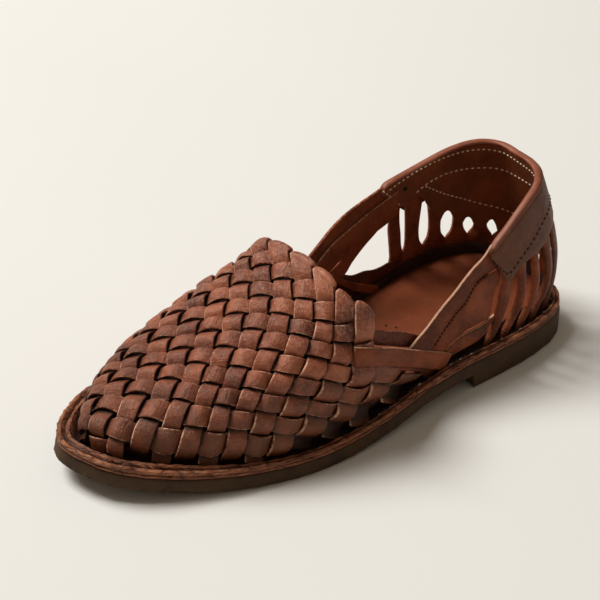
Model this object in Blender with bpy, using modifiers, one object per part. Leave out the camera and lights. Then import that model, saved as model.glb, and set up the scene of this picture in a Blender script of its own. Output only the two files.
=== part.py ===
"""Woven leather loafer for the left foot.

One shoe stands on its sole: a rubber outsole with its heel, a leather midsole whose edge shows
as a welt, an insole, a hollow woven upper (vamp, side straps and heel slats in one wall) and the
folded collar band that holds the tops of the slats.

The shoe's own axes: x runs from the back of the heel to the toe, y points to the outer (lateral)
side and z up. Tables and named sizes are in millimetres and are scaled to metres as each vertex is
made. The origin is on the floor, under the middle of the sole.
"""
import math

import bmesh
import bpy
from mathutils import Vector

MM = 0.001
LATERAL = 1               # columns of the tables that differ between the sides
MEDIAL = 2

# ---- driving sizes -------------------------------------------------------------------------
LENGTH = 273.5            # outsole, heel to toe, at its top edge
TOE_TIP_Y = -10.8         # the toe's foremost point lies on the inner side of the middle line
FLOOR_FLARE = 1.3         # how far the rubber's lower edge stands out past its upper edge

RUBBER_THICK = 6.1
HEEL_LIFT = 7.1           # height of the heel block under the rubber layer
HEEL_BREAST_X = 81.0
ARCH_FRONT_X = 178.0      # the sole leaves the floor behind this station
ARCH_REACH = 97.0
TOE_SPRING = 9.0
TOE_SPRING_X = 194.0      # and in front of this one
BREAST_SLOPE = 0.006      # run of the heel's front face, as a share of the sole's length
MIDSOLE_THICK = 3.9
MIDSOLE_DRAW = 0.4        # the midsole's upper edge lies this far inside its lower one
INSOLE_THICK = 2.4
INSOLE_CLEARANCE = 0.6    # from the inner face of the upper
GAP = 0.3                 # clearance between pieces that touch in the real shoe
SEAT_GAP = 0.5            # the same under the upper, whose foot tilts with its wall

WALL = 2.4                # woven leather, strap over strap
FEATHER_INSET = 5.5       # the upper rises this far inside the edge of the midsole
FULLNESS = 3.0            # exponent of the last's arched sections
HEEL_FAN_X = 38.0         # the heel's sections fan around this station
TOE_FAN_X = 226.0         # and the toe's around this one
HEEL_LEAN = 21.0          # the back of the last leans forward this far at HEEL_LEAN_HEIGHT
HEEL_BULGE = 4.0          # and swells out by this much a third of the way up
HEEL_LEAN_REACH = 75.0    # the lean fades out from the back of the heel to this station
HEEL_LEAN_HEIGHT = 85.0
HEEL_LEAN_CURVE = 1.5     # exponent of the lean's rise, so that it starts upright
BULGE_SCALE = 6.75        # brings the peak of h (1 - h) (1 - h) to 1
INWARD_LEAN = 6.0         # the whole collar leans this far to the medial side
INWARD_LEAN_BACK = 110.0  # in full behind this station, not at all before the next one
INWARD_LEAN_FRONT = 150.0
SPREAD_HEIGHT = 50.0      # the quarters' spread is whole this high above the feather edge
HEEL_SET_X = 60.0         # the directions of HEEL_SET are taken about this station
HEEL_SET_RISE = 0.79      # and its shifts are whole at this share of HEEL_LEAN_HEIGHT

COLLAR_OUTER = 1.6        # thickness of the collar's outer panel and of its lining
COLLAR_LINING = 1.2
COLLAR_LEAST = 1.5        # the band keeps at least this height below the top line
COLLAR_SLOPE_DROP = 10.0  # its lower edges are read where the wall stands this far below its top
FOLD_OUTER = 0.35         # where the fold's crown begins and ends, as a share of the way out
FOLD_INNER = 0.5
COLLAR_STEPS = (0.0, 0.25, 0.5, 0.75, 1.0)
POCKET_GAP = 0.4          # clearance of the folded band from the wall inside it

CUT_REACH = 9.0           # window cutters stand this far out on each side of the wall
CUT_OVERLAP = 0.5         # the two opening cutters overlap across the crest
CUT_FAR = 90.0
OPENING_STEPS = 60

# Sole outline at the rubber's top edge: station, lateral half width, medial half width.
OUTLINE = (
    (4.0, 22.3, 22.6),
    (15.0, 32.9, 34.4),
    (35.0, 39.1, 39.8),
    (60.0, 41.8, 39.2),
    (90.0, 43.0, 33.8),
    (115.0, 45.2, 30.4),
    (140.0, 48.8, 32.2),
    (165.0, 50.2, 40.4),
    (185.0, 49.0, 47.2),
    (205.0, 44.4, 50.3),
    (225.0, 37.5, 49.3),
    (243.0, 28.9, 43.4),
    (258.0, 19.1, 33.0),
    (267.5, 8.6, 23.0),
)

# Crest of the last: station, height over the floor, y of the crest. Behind the throat it is the
# height that the foot's shaft would have, which keeps the quarters nearly upright.
CREST = (
    (0.0, 135.0, 0.0),
    (30.0, 135.0, 0.0),
    (60.0, 135.0, -1.0),
    (100.0, 133.0, -4.0),
    (140.0, 100.0, -12.0),
    (160.0, 76.3, -13.0),
    (185.0, 61.0, -13.5),
    (210.0, 46.5, -14.0),
    (235.0, 36.0, -14.0),
    (260.0, 29.5, -14.0),
    (280.0, 26.0, -14.0),
)

# How far the quarters spread past the feather edge, as a share of the half width.
SPREAD = (
    (20.0, 0.0, 0.0),
    (60.0, -0.06, 0.0),
    (90.0, -0.10, 0.16),
    (115.0, -0.08, 0.22),
    (140.0, 0.0, 0.12),
    (165.0, 0.0, 0.0),
    (200.0, 0.0, 0.0),
)

# How the top of the heel is set on the sole, rounder than the sole's own outline and turned a little
# inwards: direction in degrees from the back of the heel, shift forward and to the lateral side.
HEEL_SET = (
    (-134.0, 0.0, 0.0),
    (-112.0, 0.0, 1.5),
    (-87.0, 0.0, 3.6),
    (-64.0, 0.0, 5.6),
    (-46.0, 0.0, 6.2),
    (-36.0, 0.2, 5.4),
    (-29.0, -0.3, 3.8),
    (-23.0, -1.8, 2.0),
    (-16.0, -3.6, 0.6),
    (-10.0, -4.4, 0.2),
    (0.0, -2.6, 0.0),
    (10.0, -0.5, 0.0),
    (19.0, 1.0, -0.6),
    (27.0, 1.5, -0.9),
    (35.0, 0.8, -0.5),
    (47.0, 0.0, 0.0),
)

# Opening of the shoe seen from the side: station, height on the lateral and on the medial side.
# From the back: collar, side strap down to the notch, then up the throat to the instep. The
# lateral side is the lower one, clear of the ankle bone.
TOPLINE = (
    (-20.0, 84.5, 84.5),
    (24.0, 84.5, 84.5),
    (36.0, 82.0, 82.5),
    (46.0, 77.5, 79.5),
    (56.0, 70.5, 76.5),
    (66.0, 63.5, 73.5),
    (76.0, 57.0, 70.5),
    (98.0, 45.0, 64.0),
    (119.0, 34.5, 58.5),
    (125.0, 36.0, 56.5),
    (138.0, 43.5, 51.0),
    (145.0, 48.5, 52.0),
    (150.0, 56.5, 57.5),
    (154.0, 65.5, 66.0),
    (157.0, 72.5, 73.0),
    (158.5, 76.5, 76.5),
    (159.0, 160.0, 160.0),
)

# Lower edges of the collar band: station, outer panel on the lateral and on the medial side,
# lining. The panel's front corner is a V.
COLLAR_EDGE = (
    (0.0, 60.0, 60.0, 40.5),
    (20.0, 59.0, 59.0, 41.0),
    (32.0, 54.0, 57.0, 46.0),
    (43.0, 51.0, 56.0, 50.5),
    (55.0, 44.5, 53.0, 53.5),
    (64.0, 53.5, 51.0, 56.0),
    (70.0, 60.0, 59.0, 62.0),
    (82.0, 60.0, 70.0, 72.0),
)
COLLAR_FRONT = {LATERAL: 69.0, MEDIAL: 80.0}      # the band's front corners

# Openings between the heel slats: distance round the feather edge from the back of the heel,
# width, lower and upper end, forward slant.
LATERAL_WINDOWS = (
    (16.5, 4.5, 28.0, 55.0, 1.0),
    (29.5, 4.5, 27.0, 54.0, 2.0),
    (42.0, 4.5, 26.5, 51.0, 4.0),
    (53.5, 4.5, 26.0, 47.5, 4.5),
    (65.0, 4.0, 25.5, 43.5, 5.0),
)
MEDIAL_WINDOWS = (
    (9.0, 5.5, 29.0, 55.0, 0.0),
    (22.0, 7.0, 29.0, 55.0, 0.0),
    (35.5, 6.5, 29.0, 55.0, 0.0),
    (48.5, 7.5, 29.0, 55.0, 0.0),
    (63.5, 7.0, 28.5, 55.0, 0.0),
    (78.5, 4.5, 28.5, 54.0, 0.0),
)

# Corners of the larger openings: distance round the feather edge, height.
FRONT_WINDOW_LATERAL = ((78.5, 25.0), (103.0, 24.5), (90.0, 38.0), (75.0, 47.5))
FRONT_WINDOW_MEDIAL = ((89.0, 30.0), (104.0, 31.5), (121.5, 34.5), (89.0, 54.0))
STRAP_WINDOW_MEDIAL = ((134.5, 41.0), (136.0, 44.0), (126.5, 49.5), (124.5, 46.5))

# Opening between two slats, a slim leaf with a blunt foot: share of its half width, share of its
# height.
SLAT_LEAF = (
    (-0.60, 0.00),
    (0.60, 0.00),
    (1.00, 0.30),
    (0.75, 0.75),
    (0.22, 1.00),
    (-0.37, 1.00),
    (-0.75, 0.75),
    (-1.00, 0.30),
)

WELD = 0.02               # doubled points nearer than this become one
SLIVER = 0.01
SOLE_STATIONS = 44
SOLE_ACROSS = (0.0, 0.25, 0.5, 0.75, 1.0)
HEEL_COLUMNS = 14         # sections of the upper round half of the heel fan
QUARTER_COLUMNS = 17
VAMP_COLUMNS = 9
TOE_COLUMNS = 13
UPPER_ROWS = 16
SPLINE_STEPS = 24


# ---- shape functions -------------------------------------------------------------------------
def clamp(value, low, high):
    return max(low, min(high, value))


def smooth_step(value):
    share = clamp(value, 0.0, 1.0)
    return share * share * (3.0 - 2.0 * share)


def slope_at(rows, index, column):
    before = rows[max(index - 1, 0)]
    after = rows[min(index + 1, len(rows) - 1)]
    return (after[column] - before[column]) / (after[0] - before[0])


def read_table(rows, station, column):
    """Smooth curve through a table's rows (cubic Hermite)."""
    if station <= rows[0][0]:
        return rows[0][column]
    if station >= rows[-1][0]:
        return rows[-1][column]
    index = 0
    while rows[index + 1][0] < station:
        index += 1
    start, end = rows[index], rows[index + 1]
    span = end[0] - start[0]
    t = (station - start[0]) / span
    return (start[column] * (1.0 + 2.0 * t) * (1.0 - t) ** 2
            + slope_at(rows, index, column) * span * t * (1.0 - t) ** 2
            + end[column] * t * t * (3.0 - 2.0 * t)
            + slope_at(rows, index + 1, column) * span * t * t * (t - 1.0))


def read_straight(rows, station, column):
    """Straight lines through a table's rows."""
    if station <= rows[0][0]:
        return rows[0][column]
    for start, end in zip(rows, rows[1:]):
        if station <= end[0]:
            share = (station - start[0]) / (end[0] - start[0])
            return start[column] + (end[column] - start[column]) * share
    return rows[-1][column]


def between(a, b, share):
    return tuple(p + (q - p) * share for p, q in zip(a, b))


def closed_spline(points, steps):
    """Centripetal Catmull-Rom curve through a closed ring of points in the plan."""
    curve = []
    count = len(points)
    for index in range(count):
        p0, p1, p2, p3 = (points[(index + k - 1) % count] for k in range(4))
        t1 = math.dist(p0, p1) ** 0.5
        t2 = t1 + math.dist(p1, p2) ** 0.5
        t3 = t2 + math.dist(p2, p3) ** 0.5
        for step in range(steps):
            t = t1 + (t2 - t1) * step / steps
            a1 = between(p0, p1, t / t1)
            a2 = between(p1, p2, (t - t1) / (t2 - t1))
            a3 = between(p2, p3, (t - t2) / (t3 - t2))
            b1 = between(a1, a2, t / t2)
            b2 = between(a2, a3, (t - t1) / (t3 - t1))
            curve.append(between(b1, b2, (t - t1) / (t2 - t1)))
    return curve


def sole_plan():
    """The sole's outline, from the back of the heel along the lateral side and back again."""
    lateral = [(station, width) for station, width, _ in OUTLINE]
    medial = [(station, -width) for station, _, width in reversed(OUTLINE)]
    return closed_spline([(0.0, 0.0)] + lateral + [(LENGTH, TOE_TIP_Y)] + medial, SPLINE_STEPS)


def inset(plan, distance):
    """The plan moved inwards by a distance (outwards when it is negative)."""
    moved = []
    count = len(plan)
    for index, (x, y) in enumerate(plan):
        before, after = plan[index - 1], plan[(index + 1) % count]
        run = (after[0] - before[0], after[1] - before[1])
        length = math.hypot(run[0], run[1])
        moved.append((x + distance * run[1] / length, y - distance * run[0] / length))
    return moved


def tip_index(plan):
    return max(range(len(plan)), key=lambda index: plan[index][0])


def side_of(plan, side):
    """One half of a plan, as points from the back of the heel to the tip of the toe."""
    tip = tip_index(plan)
    if side == LATERAL:
        return plan[:tip + 1]
    return [plan[0]] + plan[:tip - 1:-1]


def edge_y(half, station):
    """y of a half plan at a station."""
    for start, end in zip(half, half[1:]):
        if start[0] <= station <= end[0]:
            return between(start, end, (station - start[0]) / max(end[0] - start[0], 1e-9))[1]
    return half[-1][1] if station > half[0][0] else half[0][1]


def sole_underside(station):
    toe = TOE_SPRING * (max(station - TOE_SPRING_X, 0.0) / (LENGTH - TOE_SPRING_X)) ** 2
    return toe + HEEL_LIFT * smooth_step((ARCH_FRONT_X - station) / ARCH_REACH)


def floor_side(station):
    """Underside of the rubber with the heel block."""
    return 0.0 if station <= HEEL_BREAST_X else sole_underside(station)


def rubber_top(station):
    return sole_underside(station) + RUBBER_THICK


def feather_height(station):
    """Top of the midsole, on which the upper stands."""
    return rubber_top(station) + MIDSOLE_THICK


def crest_profile(station):
    return read_table(CREST, station, 1)


SOLE_PLAN = sole_plan()
FEATHER_PLAN = inset(SOLE_PLAN, FEATHER_INSET)


def last_point(foot, angle, side):
    """Point of the last over a foot of the feather edge.

    angle 0 lies on the feather edge and a quarter turn on the crest, along an arched section.
    """
    foot_x, foot_y = foot
    crest_x = clamp(foot_x, HEEL_FAN_X, TOE_FAN_X)
    crest_y = read_table(CREST, crest_x, 2)
    base = feather_height(foot_x) + SEAT_GAP
    rise = math.sin(angle) ** (2.0 / FULLNESS)
    share = math.cos(angle) ** (2.0 / FULLNESS)
    upright = (crest_profile(foot_x) - base) * rise
    share *= 1.0 + read_table(SPREAD, foot_x, side) * smooth_step(upright / SPREAD_HEIGHT)
    x = crest_x + (foot_x - crest_x) * share
    y = crest_y + (foot_y - crest_y) * share
    height = base + (crest_profile(x) - base) * rise
    raised = clamp((height - base) / HEEL_LEAN_HEIGHT, 0.0, 1.0)
    swell = BULGE_SCALE * raised * (1.0 - raised) ** 2
    forward = HEEL_LEAN * raised ** HEEL_LEAN_CURVE - HEEL_BULGE * swell
    x += forward * max(1.0 - x / HEEL_LEAN_REACH, 0.0)
    reach = (INWARD_LEAN_FRONT - x) / (INWARD_LEAN_FRONT - INWARD_LEAN_BACK)
    y -= INWARD_LEAN * raised * smooth_step(reach)
    direction = math.degrees(math.atan2(foot_y, HEEL_SET_X - foot_x))
    whole = clamp(raised / HEEL_SET_RISE, 0.0, 1.0) ** HEEL_LEAN_CURVE
    x += read_table(HEEL_SET, direction, 1) * whole
    y += read_table(HEEL_SET, direction, 2) * whole
    return Vector((x, y, height))


def angle_at_height(foot, height):
    """Angle of the section where the last reaches a height (behind the throat)."""
    base = feather_height(foot[0]) + SEAT_GAP
    share = clamp((height - base) / (crest_profile(foot[0]) - base), 0.0, 1.0)
    return math.asin(share ** (FULLNESS / 2.0))


def foot_at(distance, side):
    """Foot of the feather edge at a distance round it from the back of the heel."""
    half = side_of(FEATHER_PLAN, side)
    walked = 0.0
    for start, end in zip(half, half[1:]):
        step = math.dist(start, end)
        if walked + step >= distance:
            return between(start, end, (distance - walked) / step)
        walked += step
    return half[-1]


def last_at(distance, side, height):
    """Point of the last at a height over the feather edge."""
    foot = foot_at(distance, side)
    return last_point(foot, angle_at_height(foot, height), side)


def outward_at(distance, side, height):
    """The last's outward normal."""
    along = last_at(distance + 1.0, side, height) - last_at(max(distance - 1.0, 0.0), side, height)
    upward = last_at(distance, side, height + 1.0) - last_at(distance, side, height - 1.0)
    normal = upward.cross(along).normalized()
    return normal if side == LATERAL else -normal


def wall_point(distance, side, height, offset):
    """Point at a height, offset from the last along its normal."""
    level = height
    for _ in range(3):
        normal = outward_at(distance, side, level)
        level = height - normal.z * offset
    return last_at(distance, side, level) + normal * offset


def topline_height(distance, side):
    """Height at which the opening crosses the section over a foot of the feather edge."""
    height = read_straight(TOPLINE, foot_at(distance, side)[0], side)
    for _ in range(4):
        station = wall_point(distance, side, height, 0.0).x
        height = read_table(TOPLINE, station, side)
    return height


# ---- scene helpers -----------------------------------------------------------------------------
def clear_scene():
    for obj in list(bpy.data.objects):
        bpy.data.objects.remove(obj, do_unlink=True)


def new_collection(name):
    collection = bpy.data.collections.new(name)
    bpy.context.scene.collection.children.link(collection)
    return collection


def new_material(name, colour, roughness):
    material = bpy.data.materials.new(name)
    material.use_nodes = True
    shader = material.node_tree.nodes["Principled BSDF"]
    shader.inputs["Base Color"].default_value = (*colour, 1.0)
    shader.inputs["Roughness"].default_value = roughness
    material.diffuse_color = (*colour, 1.0)
    return material


def to_world(point):
    """From the shoe's axes in millimetres to metres about the middle of the sole."""
    return Vector((point[0] - LENGTH / 2.0, point[1], point[2])) * MM


def mesh_object(name, points, faces, collection, material=None):
    """A mesh object from a loft's points, with doubled points at its closed ends welded."""
    mesh = bpy.data.meshes.new(name)
    mesh.from_pydata([to_world(point) for point in points], [], faces)
    shape = bmesh.new()
    shape.from_mesh(mesh)
    bmesh.ops.remove_doubles(shape, verts=shape.verts, dist=WELD * MM)
    bmesh.ops.dissolve_degenerate(shape, edges=shape.edges, dist=SLIVER * MM)
    shape.to_mesh(mesh)
    shape.free()
    obj = bpy.data.objects.new(name, mesh)
    collection.objects.link(obj)
    if material:
        mesh.materials.append(material)
    return obj


def face_outwards(obj):
    shape = bmesh.new()
    shape.from_mesh(obj.data)
    bmesh.ops.recalc_face_normals(shape, faces=shape.faces)
    shape.to_mesh(obj.data)
    shape.free()


def loft(name, rings, collection, material=None, capped=True):
    """A closed solid through rings of equal length."""
    size = len(rings[0])
    points = [point for ring in rings for point in ring]
    faces = []
    for row in range(len(rings) - 1):
        for column in range(size):
            after = (column + 1) % size
            here = row * size
            faces.append((here + column, here + after, here + size + after, here + size + column))
    if capped:
        faces.append(tuple(range(size - 1, -1, -1)))
        faces.append(tuple(range((len(rings) - 1) * size, len(rings) * size)))
    obj = mesh_object(name, points, faces, collection, material)
    face_outwards(obj)
    return obj


def cut(target, cutter):
    """Subtract a cutter from a target."""
    cutter.hide_render = True
    cutter.display_type = "WIRE"
    modifier = target.modifiers.new("cut " + cutter.name, "BOOLEAN")
    modifier.operation = "DIFFERENCE"
    modifier.solver = "EXACT"
    modifier.object = cutter


# ---- sole ------------------------------------------------------------------------------------
def slab_stations(extra=()):
    """Shares of a layer's length, closer together at its ends."""
    even = [(1.0 - math.cos(math.pi * i / SOLE_STATIONS)) / 2.0 for i in range(SOLE_STATIONS + 1)]
    return sorted(even + list(extra))


def slab(name, lower_plan, upper_plan, lower_height, upper_height, stations, collection, material):
    """A sole layer: cross sections between two plans, each at its own height."""
    rings = []
    halves = {}
    for key, plan in (("lower", lower_plan), ("upper", upper_plan)):
        halves[key] = (side_of(plan, MEDIAL), side_of(plan, LATERAL))
    for share in stations:
        ring = []
        for key, height in (("lower", lower_height), ("upper", upper_height)):
            medial, lateral = halves[key]
            x = medial[0][0] + (medial[-1][0] - medial[0][0]) * share
            left, right = edge_y(medial, x), edge_y(lateral, x)
            row = [(x, left + (right - left) * part, height(x)) for part in SOLE_ACROSS]
            ring += row if key == "lower" else row[::-1]
        rings.append(ring)
    return loft(name, rings, collection, material, capped=False)


def build_outsole(collection, material):
    """Rubber layer and heel block, moulded in one, with a raised arch and toe spring."""
    breast = (HEEL_BREAST_X + FLOOR_FLARE) / (LENGTH + 2.0 * FLOOR_FLARE)
    steps = (breast - BREAST_SLOPE / 60.0, breast + BREAST_SLOPE)
    return slab("outsole", inset(SOLE_PLAN, -FLOOR_FLARE), SOLE_PLAN, floor_side, rubber_top,
                slab_stations(steps), collection, material)


def build_midsole(collection, material):
    """Leather layer whose edge shows all round as a welt."""
    return slab("midsole", SOLE_PLAN, inset(SOLE_PLAN, MIDSOLE_DRAW),
                lambda x: rubber_top(x) + GAP, feather_height, slab_stations(), collection, material)


def build_insole(collection, material):
    """Leather footbed inside the upper."""
    plan = inset(SOLE_PLAN, FEATHER_INSET + WALL + INSOLE_CLEARANCE)
    return slab("insole", plan, plan, lambda x: feather_height(x) + GAP,
                lambda x: feather_height(x) + GAP + INSOLE_THICK, slab_stations(),
                collection, material)


# ---- upper ------------------------------------------------------------------------------------
def column_stations():
    """Feet of the upper's sections on each side, as distances round the feather edge."""
    columns = []
    for side in (LATERAL, MEDIAL):
        half = side_of(FEATHER_PLAN, side)
        heel = arc_to_station(half, HEEL_FAN_X)
        total = arc_to_station(half, half[-1][0])
        toe = arc_to_station(half, TOE_FAN_X)
        distances = [heel * i / HEEL_COLUMNS for i in range(HEEL_COLUMNS)]
        shared = QUARTER_COLUMNS + VAMP_COLUMNS
        for i in range(shared):
            station = HEEL_FAN_X + (TOE_FAN_X - HEEL_FAN_X) * i / shared
            distances.append(arc_to_station(half, station))
        distances += [toe + (total - toe) * i / TOE_COLUMNS for i in range(TOE_COLUMNS + 1)]
        columns.append(distances)
    return columns


def arc_to_station(half, station):
    """Distance along a half plan from the back of the heel to a station."""
    walked = 0.0
    for start, end in zip(half, half[1:]):
        if end[0] >= station:
            share = (station - start[0]) / max(end[0] - start[0], 1e-9)
            return walked + math.dist(start, end) * share
        walked += math.dist(start, end)
    return walked


def build_last_wall(collection, material):
    """The whole last as an open sheet, given the wall's thickness inwards."""
    lateral, medial = column_stations()
    ring = [(distance, LATERAL) for distance in lateral]
    ring += [(distance, MEDIAL) for distance in medial[-2:0:-1]]
    points = []
    for distance, side in ring:
        foot = foot_at(distance, side)
        for row in range(UPPER_ROWS + 1):
            points.append(last_point(foot, math.pi / 2.0 * row / UPPER_ROWS, side))
    faces = []
    rows = UPPER_ROWS + 1
    for column in range(len(ring)):
        after = (column + 1) % len(ring)
        for row in range(UPPER_ROWS):
            faces.append((column * rows + row, column * rows + row + 1,
                          after * rows + row + 1, after * rows + row))
    wall = mesh_object("upper", points, faces, collection, material)
    shell = wall.modifiers.new("wall", "SOLIDIFY")
    shell.thickness = WALL * MM
    shell.offset = -1.0
    shell.use_even_offset = True
    shell.use_quality_normals = True
    return wall


def opening_cutter(name, side, collection):
    """Everything over the opening's line on one side of the crest."""
    rows = [(x, read_straight(TOPLINE, x, side)) for x, _, _ in TOPLINE]
    span = rows[-2][0] - rows[0][0]
    stations = [rows[0][0] + span * i / OPENING_STEPS for i in range(OPENING_STEPS + 1)]
    line = [(x, read_table(TOPLINE[:-1], x, side)) for x in stations] + [rows[-1]]
    line += [(rows[0][0], rows[-1][1])]
    outward = 1.0 if side == LATERAL else -1.0
    near = read_table(CREST, TOPLINE[-1][0], 2) - outward * CUT_OVERLAP
    far = outward * CUT_FAR
    rings = [[(x, y, z) for x, z in line] for y in (near, far)]
    return loft(name, rings, collection)


def wall_cutter(name, corners, side, collection):
    """A prism through the wall over a polygon drawn on the last."""
    rings = []
    for offset in (-CUT_REACH, CUT_REACH):
        rings.append([wall_point(distance, side, height, offset) for distance, height in corners])
    return loft(name, rings, collection)


def slat_window(distance, width, low, high, slant):
    """Corners of the opening between two slats."""
    return [(distance + along * width / 2.0 + slant * rise, low + (high - low) * rise)
            for along, rise in SLAT_LEAF]


def build_upper(parts, cutters, material):
    """Vamp, side straps and slats: one wall, open above, between the straps and underneath."""
    upper = build_last_wall(parts, material)
    for side, tag, windows in ((LATERAL, "lateral", LATERAL_WINDOWS),
                               (MEDIAL, "medial", MEDIAL_WINDOWS)):
        cut(upper, opening_cutter("opening " + tag, side, cutters))
        for number, row in enumerate(windows):
            name = "slat window %s %d" % (tag, number + 1)
            cut(upper, wall_cutter(name, slat_window(*row), side, cutters))
    cut(upper, wall_cutter("front window lateral", FRONT_WINDOW_LATERAL, LATERAL, cutters))
    cut(upper, wall_cutter("front window medial", FRONT_WINDOW_MEDIAL, MEDIAL, cutters))
    cut(upper, wall_cutter("strap window medial", STRAP_WINDOW_MEDIAL, MEDIAL, cutters))
    return upper


# ---- collar -----------------------------------------------------------------------------------
def collar_ring(distance, side):
    """Section of the folded band: outer panel, fold over the upper's top edge, lining."""
    top = topline_height(distance, side)
    station = wall_point(distance, side, top - COLLAR_SLOPE_DROP, 0.0).x
    low = min(read_straight(COLLAR_EDGE, station, side), top - COLLAR_LEAST)
    lining_low = min(read_straight(COLLAR_EDGE, station, 3), top - COLLAR_LEAST)
    outer, inner = POCKET_GAP + COLLAR_OUTER, -WALL - POCKET_GAP - COLLAR_LINING
    pocket_outer, pocket_inner = POCKET_GAP, -WALL - POCKET_GAP
    crown = top + GAP + COLLAR_OUTER
    section = [(outer, low + (top - low) * share) for share in COLLAR_STEPS]
    section += [(outer * FOLD_OUTER, crown), (inner * FOLD_INNER, crown)]
    section += [(inner, top + (lining_low - top) * share) for share in COLLAR_STEPS]
    section += [(pocket_inner, lining_low + (top + GAP - lining_low) * share)
                for share in COLLAR_STEPS]
    section += [(pocket_outer, top + GAP + (low - top - GAP) * share) for share in COLLAR_STEPS]
    return [wall_point(distance, side, height, offset) for offset, height in section]


def build_collar(collection, material):
    """Band round the heel from one front corner to the other."""
    lateral, medial = column_stations()
    lateral_end = arc_to_station(side_of(FEATHER_PLAN, LATERAL), COLLAR_FRONT[LATERAL])
    medial_end = arc_to_station(side_of(FEATHER_PLAN, MEDIAL), COLLAR_FRONT[MEDIAL])
    along = [(medial_end, MEDIAL)]
    along += [(d, MEDIAL) for d in reversed(medial) if 0.0 < d < medial_end - 1.0]
    along += [(d, LATERAL) for d in lateral if d < lateral_end - 1.0]
    along.append((lateral_end, LATERAL))
    return loft("collar", [collar_ring(d, side) for d, side in along], collection, material)


# ---- assembly ----------------------------------------------------------------------------------
def build():
    clear_scene()
    parts = new_collection("woven_loafer")
    cutters = new_collection("cutters")
    rubber = new_material("rubber", (0.050, 0.030, 0.022), 0.75)
    welt = new_material("welt_leather", (0.150, 0.055, 0.030), 0.6)
    footbed = new_material("footbed_leather", (0.200, 0.065, 0.040), 0.5)
    woven = new_material("woven_leather", (0.170, 0.060, 0.035), 0.45)
    band = new_material("collar_leather", (0.130, 0.050, 0.032), 0.45)
    build_outsole(parts, rubber)
    build_midsole(parts, welt)
    build_insole(parts, footbed)
    build_upper(parts, cutters, woven)
    build_collar(parts, band)


build()
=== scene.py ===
"""Woven leather loafer for the left foot: weave, straps, collar, sole, finishes and light.

Shapes are drawn in the shoe's own axes, in millimetres: x from the back of the heel to the toe, y to
the outer side and z up. They are brought to metres about the middle of the sole as a piece is made.
The quarters are addressed by the distance round the foot of the last from the back of the heel
(positive on the outer side, negative on the inner one) and by height.
"""
import math
import random

import bpy
import numpy as np
from mathutils import Matrix, Vector


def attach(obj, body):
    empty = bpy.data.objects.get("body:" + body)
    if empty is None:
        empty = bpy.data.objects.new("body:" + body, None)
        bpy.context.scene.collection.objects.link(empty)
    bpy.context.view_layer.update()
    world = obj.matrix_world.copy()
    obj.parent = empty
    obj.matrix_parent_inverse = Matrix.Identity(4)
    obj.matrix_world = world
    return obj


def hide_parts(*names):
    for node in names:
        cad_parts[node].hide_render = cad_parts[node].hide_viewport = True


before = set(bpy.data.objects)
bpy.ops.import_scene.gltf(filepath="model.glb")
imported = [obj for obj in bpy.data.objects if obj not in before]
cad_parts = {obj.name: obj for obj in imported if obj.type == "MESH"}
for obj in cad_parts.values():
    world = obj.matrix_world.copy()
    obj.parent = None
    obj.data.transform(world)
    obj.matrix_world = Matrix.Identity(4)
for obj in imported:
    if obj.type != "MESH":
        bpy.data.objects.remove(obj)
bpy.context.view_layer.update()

MM = 0.001
LATERAL, MEDIAL = 1, 2

# Sole and last, in millimetres.
LENGTH = 273.5
TOE_TIP_Y = -10.8
RUBBER_THICK = 6.1
HEEL_LIFT = 7.1
HEEL_BREAST_X = 81.0
ARCH_FRONT_X = 178.0
ARCH_REACH = 97.0
TOE_SPRING = 9.0
TOE_SPRING_X = 194.0
MIDSOLE_THICK = 3.9
FEATHER_INSET = 5.5
FULLNESS = 3.0
TOE_TUCK = 4.6
HEEL_FAN_X = 38.0
TOE_FAN_X = 226.0
HEEL_LEAN = 21.0
HEEL_BULGE = 4.0
SWELL_PEAK = 6.75  # brings the peak of the heel's swell to 1
HEEL_LEAN_REACH = 75.0
HEEL_LEAN_HEIGHT = 85.0
INWARD_LEAN = 6.0
INWARD_LEAN_BACK = 110.0
INWARD_LEAN_FRONT = 150.0
SPREAD_HEIGHT = 50.0
SEAT_GAP = 0.5
HEEL_SET_X = 60.0
HEEL_SET_RISE = 0.79

# The outsole's half widths: station, outer side, inner side.
OUTLINE = (
    (4, 22.3, 22.6), (15, 32.9, 34.4), (35, 39.1, 39.8), (60, 41.8, 39.2), (90, 43, 33.8),
    (115, 45.2, 30.4), (140, 48.8, 32.2), (165, 50.2, 40.4), (185, 49, 47.2), (205, 44.4, 50.3),
    (225, 37.5, 49.3), (243, 28.9, 43.4), (258, 19.1, 33), (267.5, 8.6, 23))
# The ridge of the last: station, height, place across.
CREST = (
    (0, 135, 0), (30, 135, 0), (60, 135, -1), (100, 133, -4), (140, 100, -12), (160, 76.3, -13),
    (185, 61, -13.5), (210, 46.5, -14), (235, 36, -14), (260, 29.5, -14), (280, 26, -14))
# How much fuller the last is over its edge: station, outer side, inner side.
SPREAD = (
    (20, 0, 0), (60, -0.06, 0), (90, -0.1, 0.16), (115, -0.08, 0.22), (140, 0, 0.12), (165, 0, 0),
    (200, 0, 0))
# Shift of the upper heel, by direction from its middle in degrees: along and across.
HEEL_SET = (
    (-134, 0, 0), (-112, 0, 1.5), (-87, 0, 3.6), (-64, 0, 5.6), (-46, 0, 6.2), (-36, 0.2, 5.4),
    (-29, -0.3, 3.8), (-23, -1.8, 2), (-16, -3.6, 0.6), (-10, -4.4, 0.2), (0, -3, 0), (10, -1.7, 0.1),
    (19, -0.9, 0.1), (27, -0.3, 0.1), (35, 0, 0.1), (47, 0, 0))
# The opening's edge: station, height on the outer side, on the inner side.
TOPLINE = (
    (-20, 84.5, 84.5), (24, 84.5, 84.5), (36, 82, 82.5), (46, 77.5, 79.5), (56, 70.5, 76.5),
    (66, 63.5, 73.5), (76, 57, 70.5), (98, 45, 64), (119, 34.5, 58.5), (125, 36, 56.5), (138, 43.5, 51))

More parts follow.
